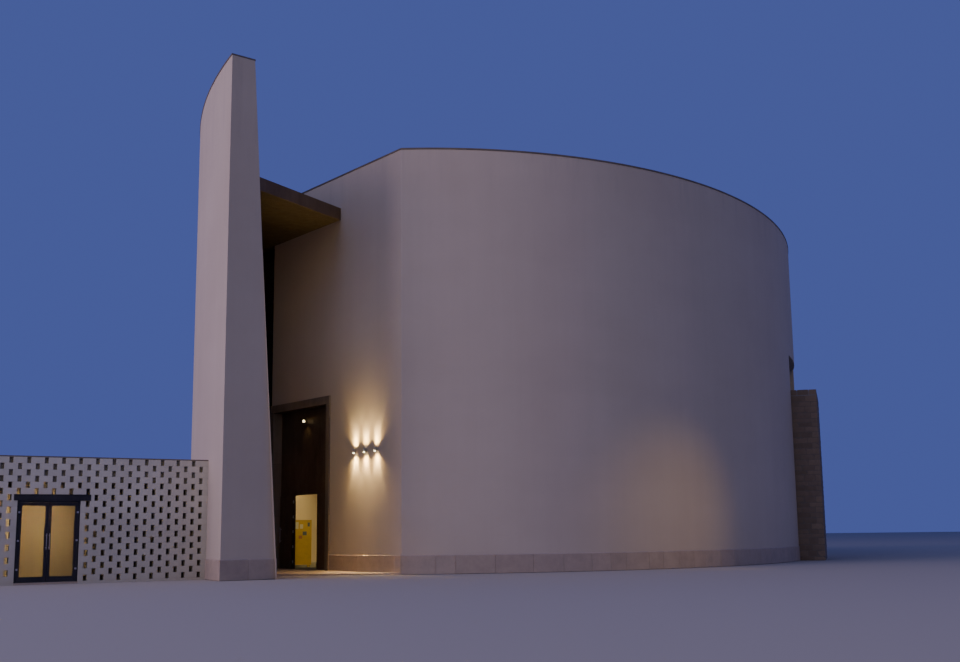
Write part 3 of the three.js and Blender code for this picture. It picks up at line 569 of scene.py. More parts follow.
def stone_material(name, stops, relief, scale, roughness):
    """Natural stone whose tone differs from block to block."""
    s = Surface(name, roughness)
    veins = s.ramp(s.noise(scale, 8, 0.7), (0.3, (0.78, 0.77, 0.78)), (0.7, (1.08, 1.06, 1.04)))
    base = s.tinted(0.8, s.ramp(s.tone(), *stops), veins)
    specks = s.ramp(s.grains(scale * 22), (0.0, (0.72, 0.7, 0.7)), (0.22, WHITE))
    s.colour(s.tinted(0.3, base, specks))
    s.rough(s.noise(scale * 3, 3), roughness - 0.08, roughness + 0.06)
    s.bump(s.noise(scale * 1.5, 6, 0.65), relief, 0.8)
    s.bump(s.noise(scale * 14, 4, 0.7), relief * 0.15, 0.8)
    return s.material


def concrete_material():
    """Ground concrete with dark grains."""
    s = Surface("ground_concrete", 0.6)
    base = s.ramp(s.noise(0.6, 6), (0.3, (0.33, 0.31, 0.30)), (0.7, (0.45, 0.43, 0.41)))
    specks = s.ramp(s.grains(60), (0.02, (0.55, 0.53, 0.5)), (0.3, WHITE))
    s.colour(s.tinted(0.6, base, specks))
    s.rough(s.noise(3, 3), 0.42, 0.7)
    s.bump(s.noise(40, 3), 0.001, 0.5)
    return s.material


def roofing_material():
    """Grey mineral felt in lapped sheets above, plaster below."""
    s = Surface("roofing", 0.92)
    sheets, laps = s.rows(8.0, 1.0, 0.012, math.radians(24))
    base = s.ramp(s.noise(0.5, 6), (0.3, (0.20, 0.195, 0.20)), (0.7, (0.30, 0.295, 0.29)))
    base = s.mix(0.12, base, sheets, "OVERLAY")
    base = s.mix(laps, base, (0.12, 0.12, 0.125))
    grit = s.ramp(s.grains(140), (0.0, grey(0.6)), (0.4, grey(1.1)))
    base = s.tinted(0.4, base, grit)
    normal = s.node("NewGeometry").outputs["Normal"]
    below = s.fade(s.height(normal), -0.3, -0.6)
    s.colour(s.mix(below, base, (0.62, 0.58, 0.55)))
    s.bump(laps, 0.006, 0.6)
    s.bump(s.noise(120, 2), 0.0015, 0.6)
    return s.material


def sheet_metal_material(name, low, middle, high, roughness, metallic):
    """Coated or patinated sheet with soft cloudy tarnish and faint upright runs."""
    s = Surface(name, roughness, metallic)
    tarnish = s.ramp(s.noise(1.4, 7, 0.62, (1, 1, 0.45)), (0.25, low), (0.5, middle), (0.78, high))
    runs = s.ramp(s.noise(7, 5, 0.6, (1, 1, 0.05)), (0.35, grey(0.8)), (0.65, grey(1.1)))
    sheets = s.ramp(s.tone(), (0.0, grey(0.92)), (1.0, grey(1.1)))
    s.colour(s.tinted(1.0, s.tinted(0.5, tarnish, runs), sheets))
    s.rough(s.noise(2.3, 6), roughness - 0.1, roughness + 0.14, 0.25, 0.75)
    s.bump(s.noise(1.3, 3), 0.006, 0.4)
    s.bump(s.noise(50, 3), 0.0005, 0.4)
    return s.material


def timber_material():
    """Oiled boards whose grain runs along the canopy's front edge."""
    s = Surface("timber", 0.55)
    boards = s.ramp(s.tone(), (0.0, (0.062, 0.044, 0.014)), (1.0, (0.080, 0.058, 0.019)))
    lines = s.noise(9, 7, 0.6, (0.12, 3.0, 1), -CANOPY_FRONT)
    grain = s.ramp(lines, (0.3, (0.7, 0.68, 0.64)), (0.7, (1.1, 1.08, 1.02)))
    s.colour(s.tinted(0.75, boards, grain))
    s.rough(s.noise(5, 4), 0.45, 0.65)
    s.bump(s.noise(16, 6, 0.6, (0.1, 4.0, 1), -CANOPY_FRONT), 0.001, 0.5)
    return s.material


def steel_material():
    """Steel with a fine brushed grain."""
    s = Surface("steel", 0.3, 1.0)
    marks = s.noise(60, 3, 0.6, (1, 1, 14))
    s.colour(s.ramp(marks, (0.3, (0.46, 0.46, 0.48)), (0.7, (0.58, 0.58, 0.60))))
    s.rough(marks, 0.24, 0.38)
    s.bump(marks, 0.0002, 0.5)
    return s.material


def glass_material(name, tint, roughness, alpha):
    """Glass under a thin film of dust."""
    s = Surface(name, roughness)
    dust = s.noise(3.0, 5, 0.6, (1, 1, 0.3))
    s.colour(s.ramp(dust, (0.3, tint), (0.8, tuple(c * 1.35 + 0.004 for c in tint))))
    s.rough(dust, roughness, roughness + 0.06, 0.3, 0.8)
    s.bump(s.noise(0.8, 2), 0.002, 0.15)
    s.set("IOR", 1.5)
    s.set("Alpha", alpha)
    return s.material


def glow_material(name, colour, strength):
    """The lit glass of a lamp, with a fine cell pattern."""
    s = Surface(name, 0.3)
    cells = s.ramp(s.grains(160), (0.0, WHITE), (0.6, grey(0.9)))
    s.colour(s.tinted(0.5, colour, cells))
    s.set("Emission Color", colour)
    s.set("Emission Strength", strength)
    s.bump(s.grains(160), 0.0005, 0.4)
    return s.material


def painted_material(name, colour, roughness, grain=0.0003):
    """Paint or mortar of nearly one colour."""
    s = Surface(name, roughness)
    s.colour(s.ramp(s.noise(6, 5), (0.3, tuple(0.86 * c for c in colour)), (0.7, colour)))
    s.rough(s.noise(11, 3), roughness - 0.08, roughness + 0.08)
    s.bump(s.noise(160, 3), grain, 0.5)
    return s.material


def paper_material():
    """Plain sheets whose colour goes by their tone."""
    s = Surface("paper", 0.8)
    colours = s.ramp(
        s.tone(), (0.0, (0.66, 0.58, 0.42)), (0.25, (0.46, 0.16, 0.10)), (0.5, (0.12, 0.13, 0.16)),
        (0.75, (0.60, 0.50, 0.24)), steps=True)
    marks = s.ramp(s.noise(30, 3), (0.3, grey(0.8)), (0.7, WHITE))
    s.colour(s.tinted(0.25, colours, marks))
    s.bump(s.noise(25, 3), 0.0005, 0.5)
    return s.material


def screen_material():
    """White painted blocks, each of its own tone, with dirt run down from above and painted shade over the
    lower courses.
    """
    s = Surface("screen_block", 0.85)
    base = s.ramp(s.noise(0.8, 5), (0.3, (0.669, 0.634, 0.526)), (0.7, (0.718, 0.682, 0.572)))
    base = s.tinted(1.0, base, s.ramp(s.tone(), (0.0, grey(0.93)), (1.0, grey(1.04))))
    runs = s.ramp(s.noise(5, 5, 0.6, (1, 1, 0.08)), (0.3, (0.88, 0.87, 0.86)), (0.6, WHITE))
    base = s.tinted(0.6, base, runs)
    # Painted shade: the blocks darken smoothly from 2.0 m down to 1.3 m and stay darker below, standing in
    # for shade near the ground.
    base = s.mix(s.fade(s.height(), 1.3, 2.0, 0.5, 0.0), base, (0.47, 0.45, 0.375))
    splash = s.times(s.fade(s.height(), 0.05, 0.6, 0.5, 0.0), s.noise(2.4, 4))
    s.colour(s.mix(splash, base, (0.46, 0.37, 0.27)))
    s.rough(s.noise(9, 3), 0.78, 0.92)
    s.bump(s.noise(70, 4), 0.0012, 0.6)
    return s.material


plaster = plaster_material()
pale_stone = stone_material(
    "pale_stone", [(0.0, (0.460, 0.370, 0.290)), (1.0, (0.500, 0.405, 0.320))], 0.0025, 2.2, 0.66)
dark_stone = stone_material(
    "dark_stone", [(0.0, (0.20, 0.15, 0.105)), (0.7, (0.25, 0.19, 0.135)), (1.0, (0.30, 0.225, 0.155))],
    0.012, 3.0, 0.86)
mortar = painted_material("mortar", (0.20, 0.165, 0.13), 0.9, 0.004)
concrete = concrete_material()
roofing = roofing_material()
bronze = sheet_metal_material(
    "bronze", (0.075, 0.050, 0.033), (0.115, 0.078, 0.052), (0.170, 0.118, 0.080), 0.58, 0.5)
frame_bronze = sheet_metal_material(
    "frame_bronze", (0.195, 0.155, 0.115), (0.255, 0.205, 0.155), (0.31, 0.255, 0.195), 0.58, 0.3)
edge_bronze = sheet_metal_material(
    "edge_bronze", (0.105, 0.070, 0.043), (0.145, 0.100, 0.063), (0.19, 0.135, 0.085), 0.55, 0.35)
edge_metal = sheet_metal_material(
    "edge_metal", (0.16, 0.13, 0.11), (0.20, 0.165, 0.14), (0.24, 0.20, 0.17), 0.55, 0.3)
dark_metal = sheet_metal_material(
    "dark_metal", (0.030, 0.029, 0.033), (0.045, 0.043, 0.049), (0.065, 0.062, 0.070), 0.46, 0.6)
timber = timber_material()
steel = steel_material()
dark_glass = glass_material("dark_glass", grey(0.008), 0.1, 0.93)
clear_glass = glass_material("clear_glass", (0.03, 0.032, 0.034), 0.05, 0.3)
lamp_glow = glow_material("lamp_glow", (1.0, 0.80, 0.50), 30.0)
lantern_glow = glow_material("lantern_glow", (1.0, 0.82, 0.42), 4.5)
yellow_board = painted_material("yellow_board", (0.66, 0.40, 0.05), 0.5)
paper = paper_material()
screen_block = screen_material()


def dress_nodes():
    """Materials of the CAD nodes that stay."""
    by_slot = {
        "plaster": plaster, "pale_stone": pale_stone, "dark_stone": dark_stone, "concrete": concrete,
        "roofing": roofing, "bronze": bronze, "dark_metal": dark_metal, "timber": timber,
        "glass": dark_glass, "steel": steel, "yellow_board": yellow_board, "screen_block": screen_block,
    }
    for row in frame["record"]["subparts"]:
        mesh = nodes[row["node"]].data
        mesh.materials.clear()
        mesh.materials.append(by_slot[row["material_slot"]])


# Walls

FLAT_STEP = 4.0
CURVE_STEP = 0.14
LEFT_WALL_STEPS = 175
LEFT_WALL_LEVELS = 8
PLASTER_EDGE = 0.012
PLASTER_SMOOTH = 20


def add_front_wall():
    """The drum and the entrance wall as one plastered wall with openings for portal and chapel."""
    breaks = [-WALL_END, -PORTAL_START, 0.0, drum_t(CHAPEL_START), drum_t(CHAPEL_END), drum_t(DRUM_END)]
    stations = []
    for start, end in zip(breaks, breaks[1:]):
        stations += spaced(start, end, CURVE_STEP if end > 0 else FLAT_STEP)[:-1]
    stations.append(breaks[-1])
    levels = [0.0, PORTAL_HEIGHT, CHAPEL_OPENING_HEIGHT, DRUM_HEIGHT]
    outer, inner = [
        [[raised(front_point(t, offset), z) for z in levels] for t in stations]
        for offset in (0.0, -DRUM_THICKNESS)
    ]

    def solid(i, k):
        middle = (stations[i] + stations[i + 1]) / 2
        in_portal = middle < -PORTAL_START and k == 0
        in_chapel = drum_t(CHAPEL_START) < middle < drum_t(CHAPEL_END) and k <= 1
        return not in_portal and not in_chapel

    replaced = [f"drum_wall_{i}" for i in range(1, 7)]
    replaced += ["drum_wall_over_chapel", "entrance_wall", "entrance_wall_over_portal"]
    wall_solid(outer, inner, solid).make(
        "drum_and_entrance_plaster", plaster, "plaster", replaced=replaced,
        bevel=PLASTER_EDGE, smooth=PLASTER_SMOOTH)


def add_left_wall():
    angles = evenly(SHELL_FRONT, SHELL_REAR, LEFT_WALL_STEPS)
    levels = evenly(0.0, SHELL_HEIGHT, LEFT_WALL_LEVELS)
    outer = [[raised(shell_point(a), z) for z in levels] for a in angles]
    inner = [[raised(shell_point(a, -shell_thickness(z)), z) for z in levels] for a in angles]
    wall_solid(outer, inner, lambda i, k: True).make(
        "left_wall_plaster", plaster, "plaster", replaced=[f"left_shell_{i}" for i in range(1, 5)],
        bevel=PLASTER_EDGE, smooth=PLASTER_SMOOTH)


# Copings

COPING_SHEET = 2.4
COPING_JOINT = 0.003
COPING_EDGE = 0.008
COPING_FOOT = 0.001
COPING_STEP = 0.3
STRIP_LAP = 0.002
STRIP_HALF = 0.03
# The sheets over the entrance wall end inside the left-hand wall.
SLOT_COPING_END = 11.0
SLOT_COPING_WIDTH = 0.307


def coping_section(thickness, lap, foot, front_drop, back_drop):
    """A sheet folded round a wall's top, as (offset, rise) points round its section."""
    out = COPING_OVERHANG + lap
    back = -thickness - out
    shoulder = COPING_THICKNESS - COPING_EDGE
    return [
        (out, foot), (out, shoulder), (out - COPING_EDGE, COPING_THICKNESS - front_drop),
        (back + COPING_EDGE, COPING_THICKNESS - back_drop), (back, shoulder), (back, foot),
    ]


def lay_coping(solids, walk, thickness, height, rng):
    """Sheets along a wall's top, with a cover strip over each joint."""
    sheet = coping_section(thickness, 0.0, COPING_FOOT, 0.004, 0.002)
    strip = coping_section(thickness, STRIP_LAP, 0.003, 0.001, 0.0)
    count = max(1, round(walk.length / COPING_SHEET))
    for i, (start, end) in enumerate(split(0.0, walk.length, count, COPING_JOINT)):
        solids.sweep(walk, start, end, sheet, height, rng.random(), COPING_STEP)
        if i:
            joint = about(i * walk.length / count, STRIP_HALF)
            solids.sweep(walk, *joint, strip, height, rng.random(), 2 * STRIP_HALF)


def add_copings():
    rng = random.Random(3)
    shell = Solids()
    shell_walk = Walk(shell_point, SHELL_FRONT, SHELL_REAR, 350)
    lay_coping(shell, shell_walk, SHELL_TOP_THICKNESS, SHELL_HEIGHT, rng)
    shell.make("left_wall_coping_sheets", edge_metal, "dark_metal", replaced=["left_shell_coping"])
    drum = Solids()
    lay_coping(drum, Walk(front_point, -WALL_END, 0.0, 20), DRUM_THICKNESS, DRUM_HEIGHT, rng)
    lay_coping(drum, Walk(front_point, 0.0, drum_t(DRUM_END)), DRUM_THICKNESS, DRUM_HEIGHT, rng)
    over_slot = Walk(entrance_point, WALL_END, SLOT_COPING_END, 10)
    section = [
        (COPING_OVERHANG, COPING_FOOT), (COPING_OVERHANG, COPING_THICKNESS),
        (-SLOT_COPING_WIDTH, COPING_THICKNESS), (-SLOT_COPING_WIDTH, COPING_FOOT),
    ]
    drum.sweep(over_slot, COPING_JOINT, over_slot.length, section, DRUM_HEIGHT, step=0.5)
    drum.make("drum_coping_sheets", edge_metal, "dark_metal", replaced=["drum_coping"])


# Plinths

SLAB_JOINT = 0.005
SLAB_SLOPE = 0.02
SLAB_SHORTEST = 0.55
SLAB_LONGEST = 1.15
SLAB_UNEVENNESS = 0.003
SLAB_EDGE = 0.003
PLINTH_REAR_END = math.radians(158)
# The inner run of the left-hand wall's plinth stops at the glazed slot.
INNER_PLINTH = (math.radians(1.7), math.radians(20.0))


def slab_runs(length, rng):
    """Start and end of each slab along a run."""
    places = [0.0]
    while length - places[-1] > SLAB_LONGEST:
        places.append(places[-1] + rng.uniform(SLAB_SHORTEST, SLAB_LONGEST))
    if length - places[-1] < SLAB_SHORTEST / 2 and len(places) > 1:
        places[-1] = length
    else:
        places.append(length)
    return [inset(span, SLAB_JOINT / 2) for span in zip(places, places[1:])]


def lay_slabs(solids, walk, rng, face_at=lambda z: 0.0):
    """A course of slabs with sloped tops. face_at(z) gives the wall face's offset where it leans."""
    for start, end in slab_runs(walk.length, rng):
        proud = PLINTH_PROJECTION - rng.uniform(0.0, SLAB_UNEVENNESS)
        shoulder = PLINTH_HEIGHT - SLAB_SLOPE
        places = spaced(start, end, WALK_STEP)
        rings = []
        for z, reach in ((PLINTH_FOOT, proud), (shoulder, proud), (PLINTH_HEIGHT, proud - SLAB_SLOPE)):
            outside = [walk.at(place, face_at(z) + reach) for place in places]
            inside = [walk.at(place, face_at(z) - PLINTH_EMBED) for place in places]
            rings.append([raised(p, z) for p in outside + inside[::-1]])
        solids.stack(rings, rng.random())


def add_plinths():
    rng = random.Random(11)
    drum_front = Solids()
    lay_slabs(drum_front, Walk(front_point, -PORTAL_START, 0.0, 40), rng)
    lay_slabs(drum_front, Walk(front_point, 0.0, drum_t(CHAPEL_START)), rng)
    drum_rear = Solids()
    lay_slabs(drum_rear, Walk(front_point, drum_t(CHAPEL_END), drum_t(PLINTH_REAR_END)), rng)

    outer_corner = shell_point(SHELL_FRONT)
    along = direction(SHELL_END_DIRECTION)
    width = SHELL_FOOT_THICKNESS / math.cos(SHELL_SLANT)

    def end_face(t, offset):
        return outer_corner + t * along - offset * turned(along)

    def inner_face(t, offset):
        return SHELL_CENTRE + (SHELL_RADIUS - offset) * direction(SHELL_FRONT - t)

    shell = Solids()
    lay_slabs(shell, Walk(shell_point, SHELL_REAR, SHELL_FRONT), rng)
    lay_slabs(shell, Walk(end_face, *inset((0.0, width), -PLINTH_PROJECTION), 20), rng)
    lay_slabs(shell, Walk(inner_face, *INNER_PLINTH, 200), rng, shell_thickness)
    for solids, name, node in (
        (drum_front, "drum_plinth_front_slabs", "drum_plinth_front"),
        (drum_rear, "drum_plinth_rear_slabs", "drum_plinth_rear"),
        (shell, "left_wall_plinth_slabs", "left_shell_plinth"),
    ):
        solids.make(name, pale_stone, "pale_stone", replaced=[node], bevel=SLAB_EDGE)


# Pieces cut from the frame's solids

BOARD_WIDTH = 0.14
BOARD_JOINT = 0.005
FASCIA_SHEET = 1.6
FASCIA_JOINT = 0.004
LANDING_ROW = 0.6
LANDING_SLAB = 1.2
LANDING_JOINT = 0.005
WELD_DISTANCE = 0.0002
FLAT_ANGLE = math.radians(0.5)


def cut(cells, normal, distance):
    """Takes away what lies behind an upright plane and closes the cut."""
    parts = cells.verts[:] + cells.edges[:] + cells.faces[:]
    result = bmesh.ops.bisect_plane(
        cells, geom=parts, plane_co=normal * distance, plane_no=normal, clear_inner=True)
    edges = [item for item in result["geom_cut"] if isinstance(item, bmesh.types.BMEdge)]
    bmesh.ops.edgeloop_fill(cells, edges=edges)


def sliced(cells, way, pitch, joint, shift=0.0):
    """The strips of a solid between upright planes across a level way, with open joints between them."""
    normal = raised(way, 0.0)
    places = [vertex.co.dot(normal) - shift for vertex in cells.verts]
    strips = []
    for i in range(math.floor(min(places) / pitch), math.ceil(max(places) / pitch)):
        strip = cells.copy()
        cut(strip, normal, shift + i * pitch + joint / 2)
        cut(strip, -normal, -(shift + (i + 1) * pitch - joint / 2))
        if strip.verts:
            strips.append(strip)
    return strips


def node_solid(node):
    """The solid of a node, with its flat faces whole again."""
    cells = bmesh.new()
    cells.from_mesh(nodes[node].data)
    bmesh.ops.remove_doubles(cells, verts=cells.verts, dist=WELD_DISTANCE)
    bmesh.ops.dissolve_limit(cells, angle_limit=FLAT_ANGLE, verts=cells.verts, edges=cells.edges)
    return cells


def add_canopy():
    """Boards under the canopy, and the sheets of its front edge."""
    rng = random.Random(5)
    boards = Solids()
    across = direction(CANOPY_FRONT - math.pi / 2)
    for strip in sliced(node_solid("canopy_soffit"), across, BOARD_WIDTH, BOARD_JOINT):
        boards.solid(strip, rng.random())
    boards.make("canopy_soffit_boards", timber, "timber", replaced=["canopy_soffit"], bevel=0.0015)
    sheets = Solids()
    for strip in sliced(node_solid("canopy_fascia"), direction(CANOPY_FRONT), FASCIA_SHEET, FASCIA_JOINT):
        sheets.solid(strip, rng.random())
    sheets.make("canopy_fascia_sheets", edge_bronze, "bronze", replaced=["canopy_fascia"], bevel=0.003)


def add_landing():
    """Slabs of the landing, in rows along the entrance wall."""
    rng = random.Random(8)
    slabs = Solids()
    face = CORNER.dot(WALL_OUT) + PLINTH_PROJECTION
    rows = sliced(node_solid("entrance_landing"), WALL_OUT, LANDING_ROW, LANDING_JOINT, face)
    for i, row in enumerate(rows):
        for slab in sliced(row, WALL_ALONG, LANDING_SLAB, LANDING_JOINT, i % 2 * LANDING_SLAB / 2):
            slabs.solid(slab, rng.random())
    slabs.make("landing_slabs", pale_stone, "pale_stone", replaced=["entrance_landing"], bevel=0.002)


# Portal

PORTAL_PROUD = 0.04
PORTAL_SPAN = inset((PORTAL_START, WALL_END), FIT)
PORTAL_TOP = PORTAL_HEIGHT - FIT
SHEET_JOINT = 0.006
SHEET_DEPTH = 0.004
PANEL_THICKNESS = 0.06
HINGE_OFFSET = 0.015
HINGE_HEIGHTS = (0.28, 0.77, 1.26, 1.74, 2.23)
KNUCKLE_HEIGHT = 0.045
KNUCKLE_GAP = 0.0006
KNUCKLE_RADIUS = 0.0105
STRAP = (0.0, 0.07)
STRAP_THICKNESS = 0.006
STRAP_SINK = 0.002
STRAP_SCREWS = (0.35, 0.75)
LEAF_THICKNESS = 0.045
LEAF_SPAN = (0.02, 0.795)
LEAF_HEIGHTS = (0.06, 2.43)
LEAF_SHEET_DEPTH = 0.003
PULL_REACH = 0.045


def add_portal_surround():
    """The portal's frame, clad in sheets with open joints over a core."""
    rng = random.Random(21)
    low, high = PORTAL_SPAN
    inner_head = PORTAL_TOP - PORTAL_HEAD
    depth = (-DRUM_THICKNESS, PORTAL_PROUD)
    core_depth = (-DRUM_THICKNESS, PORTAL_PROUD - SHEET_DEPTH)
    core_top = PORTAL_TOP - SHEET_DEPTH
    sheets = Solids()
    core = Solids()
    for jamb in ((low, low + PORTAL_JAMB), (high - PORTAL_JAMB, high)):
        core.bar(entrance_point, inset(jamb, SHEET_DEPTH), core_depth, (FLOOR, core_top))
        for z in split(FLOOR, inner_head, 3, SHEET_JOINT):
            sheets.bar(entrance_point, jamb, depth, z, rng.random())
    core_head = (inner_head + SHEET_DEPTH, core_top)
    core.bar(entrance_point, inset(PORTAL_SPAN, SHEET_DEPTH), core_depth, core_head)
    for s in split(low, high, 3, SHEET_JOINT):
        sheets.bar(entrance_point, s, depth, (inner_head + SHEET_JOINT, PORTAL_TOP), rng.random())
    sheets.make("portal_surround_sheets", frame_bronze, "bronze", replaced=["portal_surround"], bevel=0.003)
    core.make("portal_surround_core", bronze, "bronze")


def add_portal_panels():
    """Fixed panels beside and over the doorway, in sheets on a core."""
    rng = random.Random(22)
    low, high = inset(PORTAL_SPAN, PORTAL_JAMB + FIT)
    beside = (FLOOR, DOORWAY_HEIGHT - FIT)
    over = (DOORWAY_HEIGHT, PORTAL_TOP - PORTAL_HEAD - FIT)
    depth = (-PANEL_SETBACK - PANEL_THICKNESS, -PANEL_SETBACK)
    for name, s, z, columns, rows in (
        ("portal_panel_right", (low, DOORWAY_START), beside, 1, 1),
        ("portal_panel_left", (DOORWAY_END, high), beside, 1, 1),
        ("portal_panel_over", (low, high), over, 4, 2),
    ):
        sheets = Solids()
        sheets.bar(entrance_point, *[inset(span, SHEET_DEPTH) for span in (s, depth, z)])
        for x, y in product(split(*s, columns, SHEET_JOINT), split(*z, rows, SHEET_JOINT)):
            sheets.bar(entrance_point, x, depth, y, rng.random())
        sheets.make(f"{name}_sheets", bronze, "bronze", replaced=[name], bevel=0.002)


def outward_at(place, way=1.0):
    """The direction of a frame's y axis in space."""
    return raised(place(0.0, way) - place(0.0, 0.0), 0.0)


def add_hinge(solids, place, foot):
    """A knuckle with its strap and the strap's screws."""
    height = KNUCKLE_HEIGHT - KNUCKLE_GAP
    root = -HINGE_OFFSET + STRAP_SINK
    face = root + STRAP_THICKNESS
    solids.cylinder(raised(place(0.0, 0.0), foot), UP, KNUCKLE_RADIUS, height, sides=28)
    solids.bar(place, STRAP, (root, face), (foot, foot + height))
    for share in STRAP_SCREWS:
        screw = raised(place(share * STRAP[1], face), foot + KNUCKLE_HEIGHT / 2)
        solids.cylinder(screw, outward_at(place), 0.005, 0.0015, sides=12)


def add_pull(solids, place, x, face, way, grip, posts, radii, sides):
    """A pull handle on posts with roses. The way is 1 or -1, by the side of the leaf that it is on."""
    grip_radius, post_radius, rose_radius = radii
    foot, length = grip
    bar_foot = raised(place(x, face + way * PULL_REACH), foot)
    solids.cylinder(bar_foot, UP, grip_radius, length, sides)
    for height in posts:
        root = raised(place(x, face - way * 0.001), height)
        solids.cylinder(root, outward_at(place, way), post_radius, PULL_REACH + 0.001, sides - 8)
        solids.cylinder(root, outward_at(place, way), rose_radius, 0.005, sides - 4)


def add_portal_leaf(name, axis, side):
    """A leaf clad in sheets, its pull handle, and the hinge halves that move with it."""
    rng = random.Random(23)
    body = f"portal_leaf_{name}"
    depth = (-HINGE_OFFSET - LEAF_THICKNESS, -HINGE_OFFSET)

    def place(x, y):
        """The leaf's own x and y, from its hinge axis, where the open leaf stands."""
        return entrance_point(axis - side * x, -PANEL_SETBACK + HINGE_OFFSET - y)

    leaf = Solids()
    leaf.bar(place, LEAF_SPAN, inset(depth, LEAF_SHEET_DEPTH), LEAF_HEIGHTS)
    for x in split(*LEAF_SPAN, 3, SHEET_JOINT):
        leaf.bar(place, x, depth, LEAF_HEIGHTS, rng.random())
    leaf.make(f"door_leaf_{name}_sheets", bronze, "bronze", body, [f"door_leaf_{name}"], bevel=0.0015)
    fittings = Solids()
    add_pull(fittings, place, LEAF_SPAN[1] - 0.09, depth[0], -1, (0.9, 0.5), (0.96, 1.34),
             (0.012, 0.008, 0.018), 28)
    for foot in HINGE_HEIGHTS:
        add_hinge(fittings, place, foot)
    fittings.make(f"door_leaf_{name}_fittings", steel, "steel", body, bevel=0.0008)


def add_portal_leaves():
    fixed = Solids()
    for name, axis, side in (
        ("right", DOORWAY_START - HINGE_OFFSET, 1), ("left", DOORWAY_END + HINGE_OFFSET, -1),
    ):
        add_portal_leaf(name, axis, side)

        def beside(x, y, axis=axis, side=side):
            return entrance_point(axis - side * x, -PANEL_SETBACK + HINGE_OFFSET + y)

        for foot in HINGE_HEIGHTS:
            add_hinge(fixed, beside, foot - KNUCKLE_HEIGHT)
    fixed.make("portal_hinges_fixed", steel, "steel", bevel=0.0008)


# Notice board inside the doorway

BOARD_PLACE = Vector((-4.655, -12.6))
BOARD_HALF = 0.47
BOARD_HEIGHT = 1.62
BOARD_BAR = 0.03
BOARD_FEET = (-0.376, 0.376)
BOARD_FEET_HEIGHT = 0.07
PAPER_DEPTH = (-0.0225, -0.0205)
# Left, right, foot, top and tone of each sheet.
BOARD_SHEETS = [
    (-0.24, 0.01, 1.36, 1.60, 0.1), (0.06, 0.17, 1.37, 1.52, 0.1), (0.16, 0.30, 1.14, 1.27, 0.6),
    (0.02, 0.14, 1.02, 1.13, 0.3), (-0.26, -0.10, 1.00, 1.12, 0.8), (0.33, 0.41, 1.44, 1.58, 0.6),
]


def board_point(x, y):
    return BOARD_PLACE + Vector((x, y))


def add_notice_board():
    foot = FLOOR + BOARD_FEET_HEIGHT
    top = FLOOR + BOARD_HEIGHT
    board = Solids()
    board.bar(board_point, about(0.0, BOARD_HALF - 0.01), about(0.0, 0.02), (foot, top - 0.01))
    board.rim(board_point, about(0.0, BOARD_HALF), about(0.0, 0.03), (foot, top), BOARD_BAR)
    for x in BOARD_FEET:
        board.bar(board_point, about(x, 0.03), about(0.0, 0.2), (FLOOR, foot))
    board.make("notice_board_panel", yellow_board, "yellow_board", replaced=["notice_board"], bevel=0.003)
    sheets = Solids()
    for left, right, low, high, tone in BOARD_SHEETS:
        sheets.bar(board_point, (left, right), PAPER_DEPTH, (low, high), tone)
    sheets.make("notice_board_sheets", paper, "yellow_board", bevel=0.0004)


# Lamps

WALL_LIGHT_PLACES = (1.27, 1.86, 2.44)
WALL_LIGHT_HEIGHT = 3.64
WALL_LIGHT_STANDOFF = 0.085
WALL_LIGHT_RADIUS = 0.034
WALL_LIGHT_BORE = 0.03
WALL_LIGHT_HALF = 0.062
LENS_RADIUS = 0.029
LENS_DEPTH = 0.02
LANTERN_DROP = 0.33
LANTERN_HEIGHT = 0.12
LANTERN_RADIUS = 0.058


def lens_profile(face, rise):
    """A lamp's glass: a plug that ends in a low dome at height face + rise."""
    back = face - math.copysign(LENS_DEPTH, rise)
    dome = [(LENS_RADIUS * math.cos(a), face + rise * math.sin(a)) for a in evenly(0, math.pi / 2, 6)]
    return [(0, back), (LENS_RADIUS, back), *dome[:-1], (0, face + rise)]


def add_wall_lights():
    """Housings on an arm and a plate, open at both ends, with a lens in each end."""
    housings = Solids()
    lenses = Solids()
    half = WALL_LIGHT_HALF
    radius = WALL_LIGHT_RADIUS
    bore = WALL_LIGHT_BORE
    housing = [
        (0, -half + 0.015), (bore, -half + 0.015), (bore, -half), (radius, -half), (radius, -half + 0.012),
        (radius - 0.002, -half + 0.014), (radius - 0.002, half - 0.014), (radius, half - 0.012),
        (radius, half), (bore, half), (bore, half - 0.015), (0, half - 0.015),
    ]
    arm = (0.006, WALL_LIGHT_STANDOFF - radius + 0.006)
    plate = (0.0, 0.008)
    for place in WALL_LIGHT_PLACES:
        centre = raised(entrance_point(place, WALL_LIGHT_STANDOFF), WALL_LIGHT_HEIGHT)
        housings.revolve(centre, housing)
        for width, depth, rise in ((0.012, arm, 0.012), (0.02, plate, 0.03)):
            housings.bar(entrance_point, about(place, width), depth, about(WALL_LIGHT_HEIGHT, rise))
        lenses.revolve(centre, lens_profile(half - 0.012, 0.004), 24)
        lenses.revolve(centre, lens_profile(-half + 0.003, -0.012), 24)
    replaced = [f"wall_light_{i}" for i in range(1, 4)]
    housings.make("wall_light_housings", steel, "steel", replaced=replaced, bevel=0.0008)
    lenses.make("wall_light_lenses", lamp_glow, "glass")


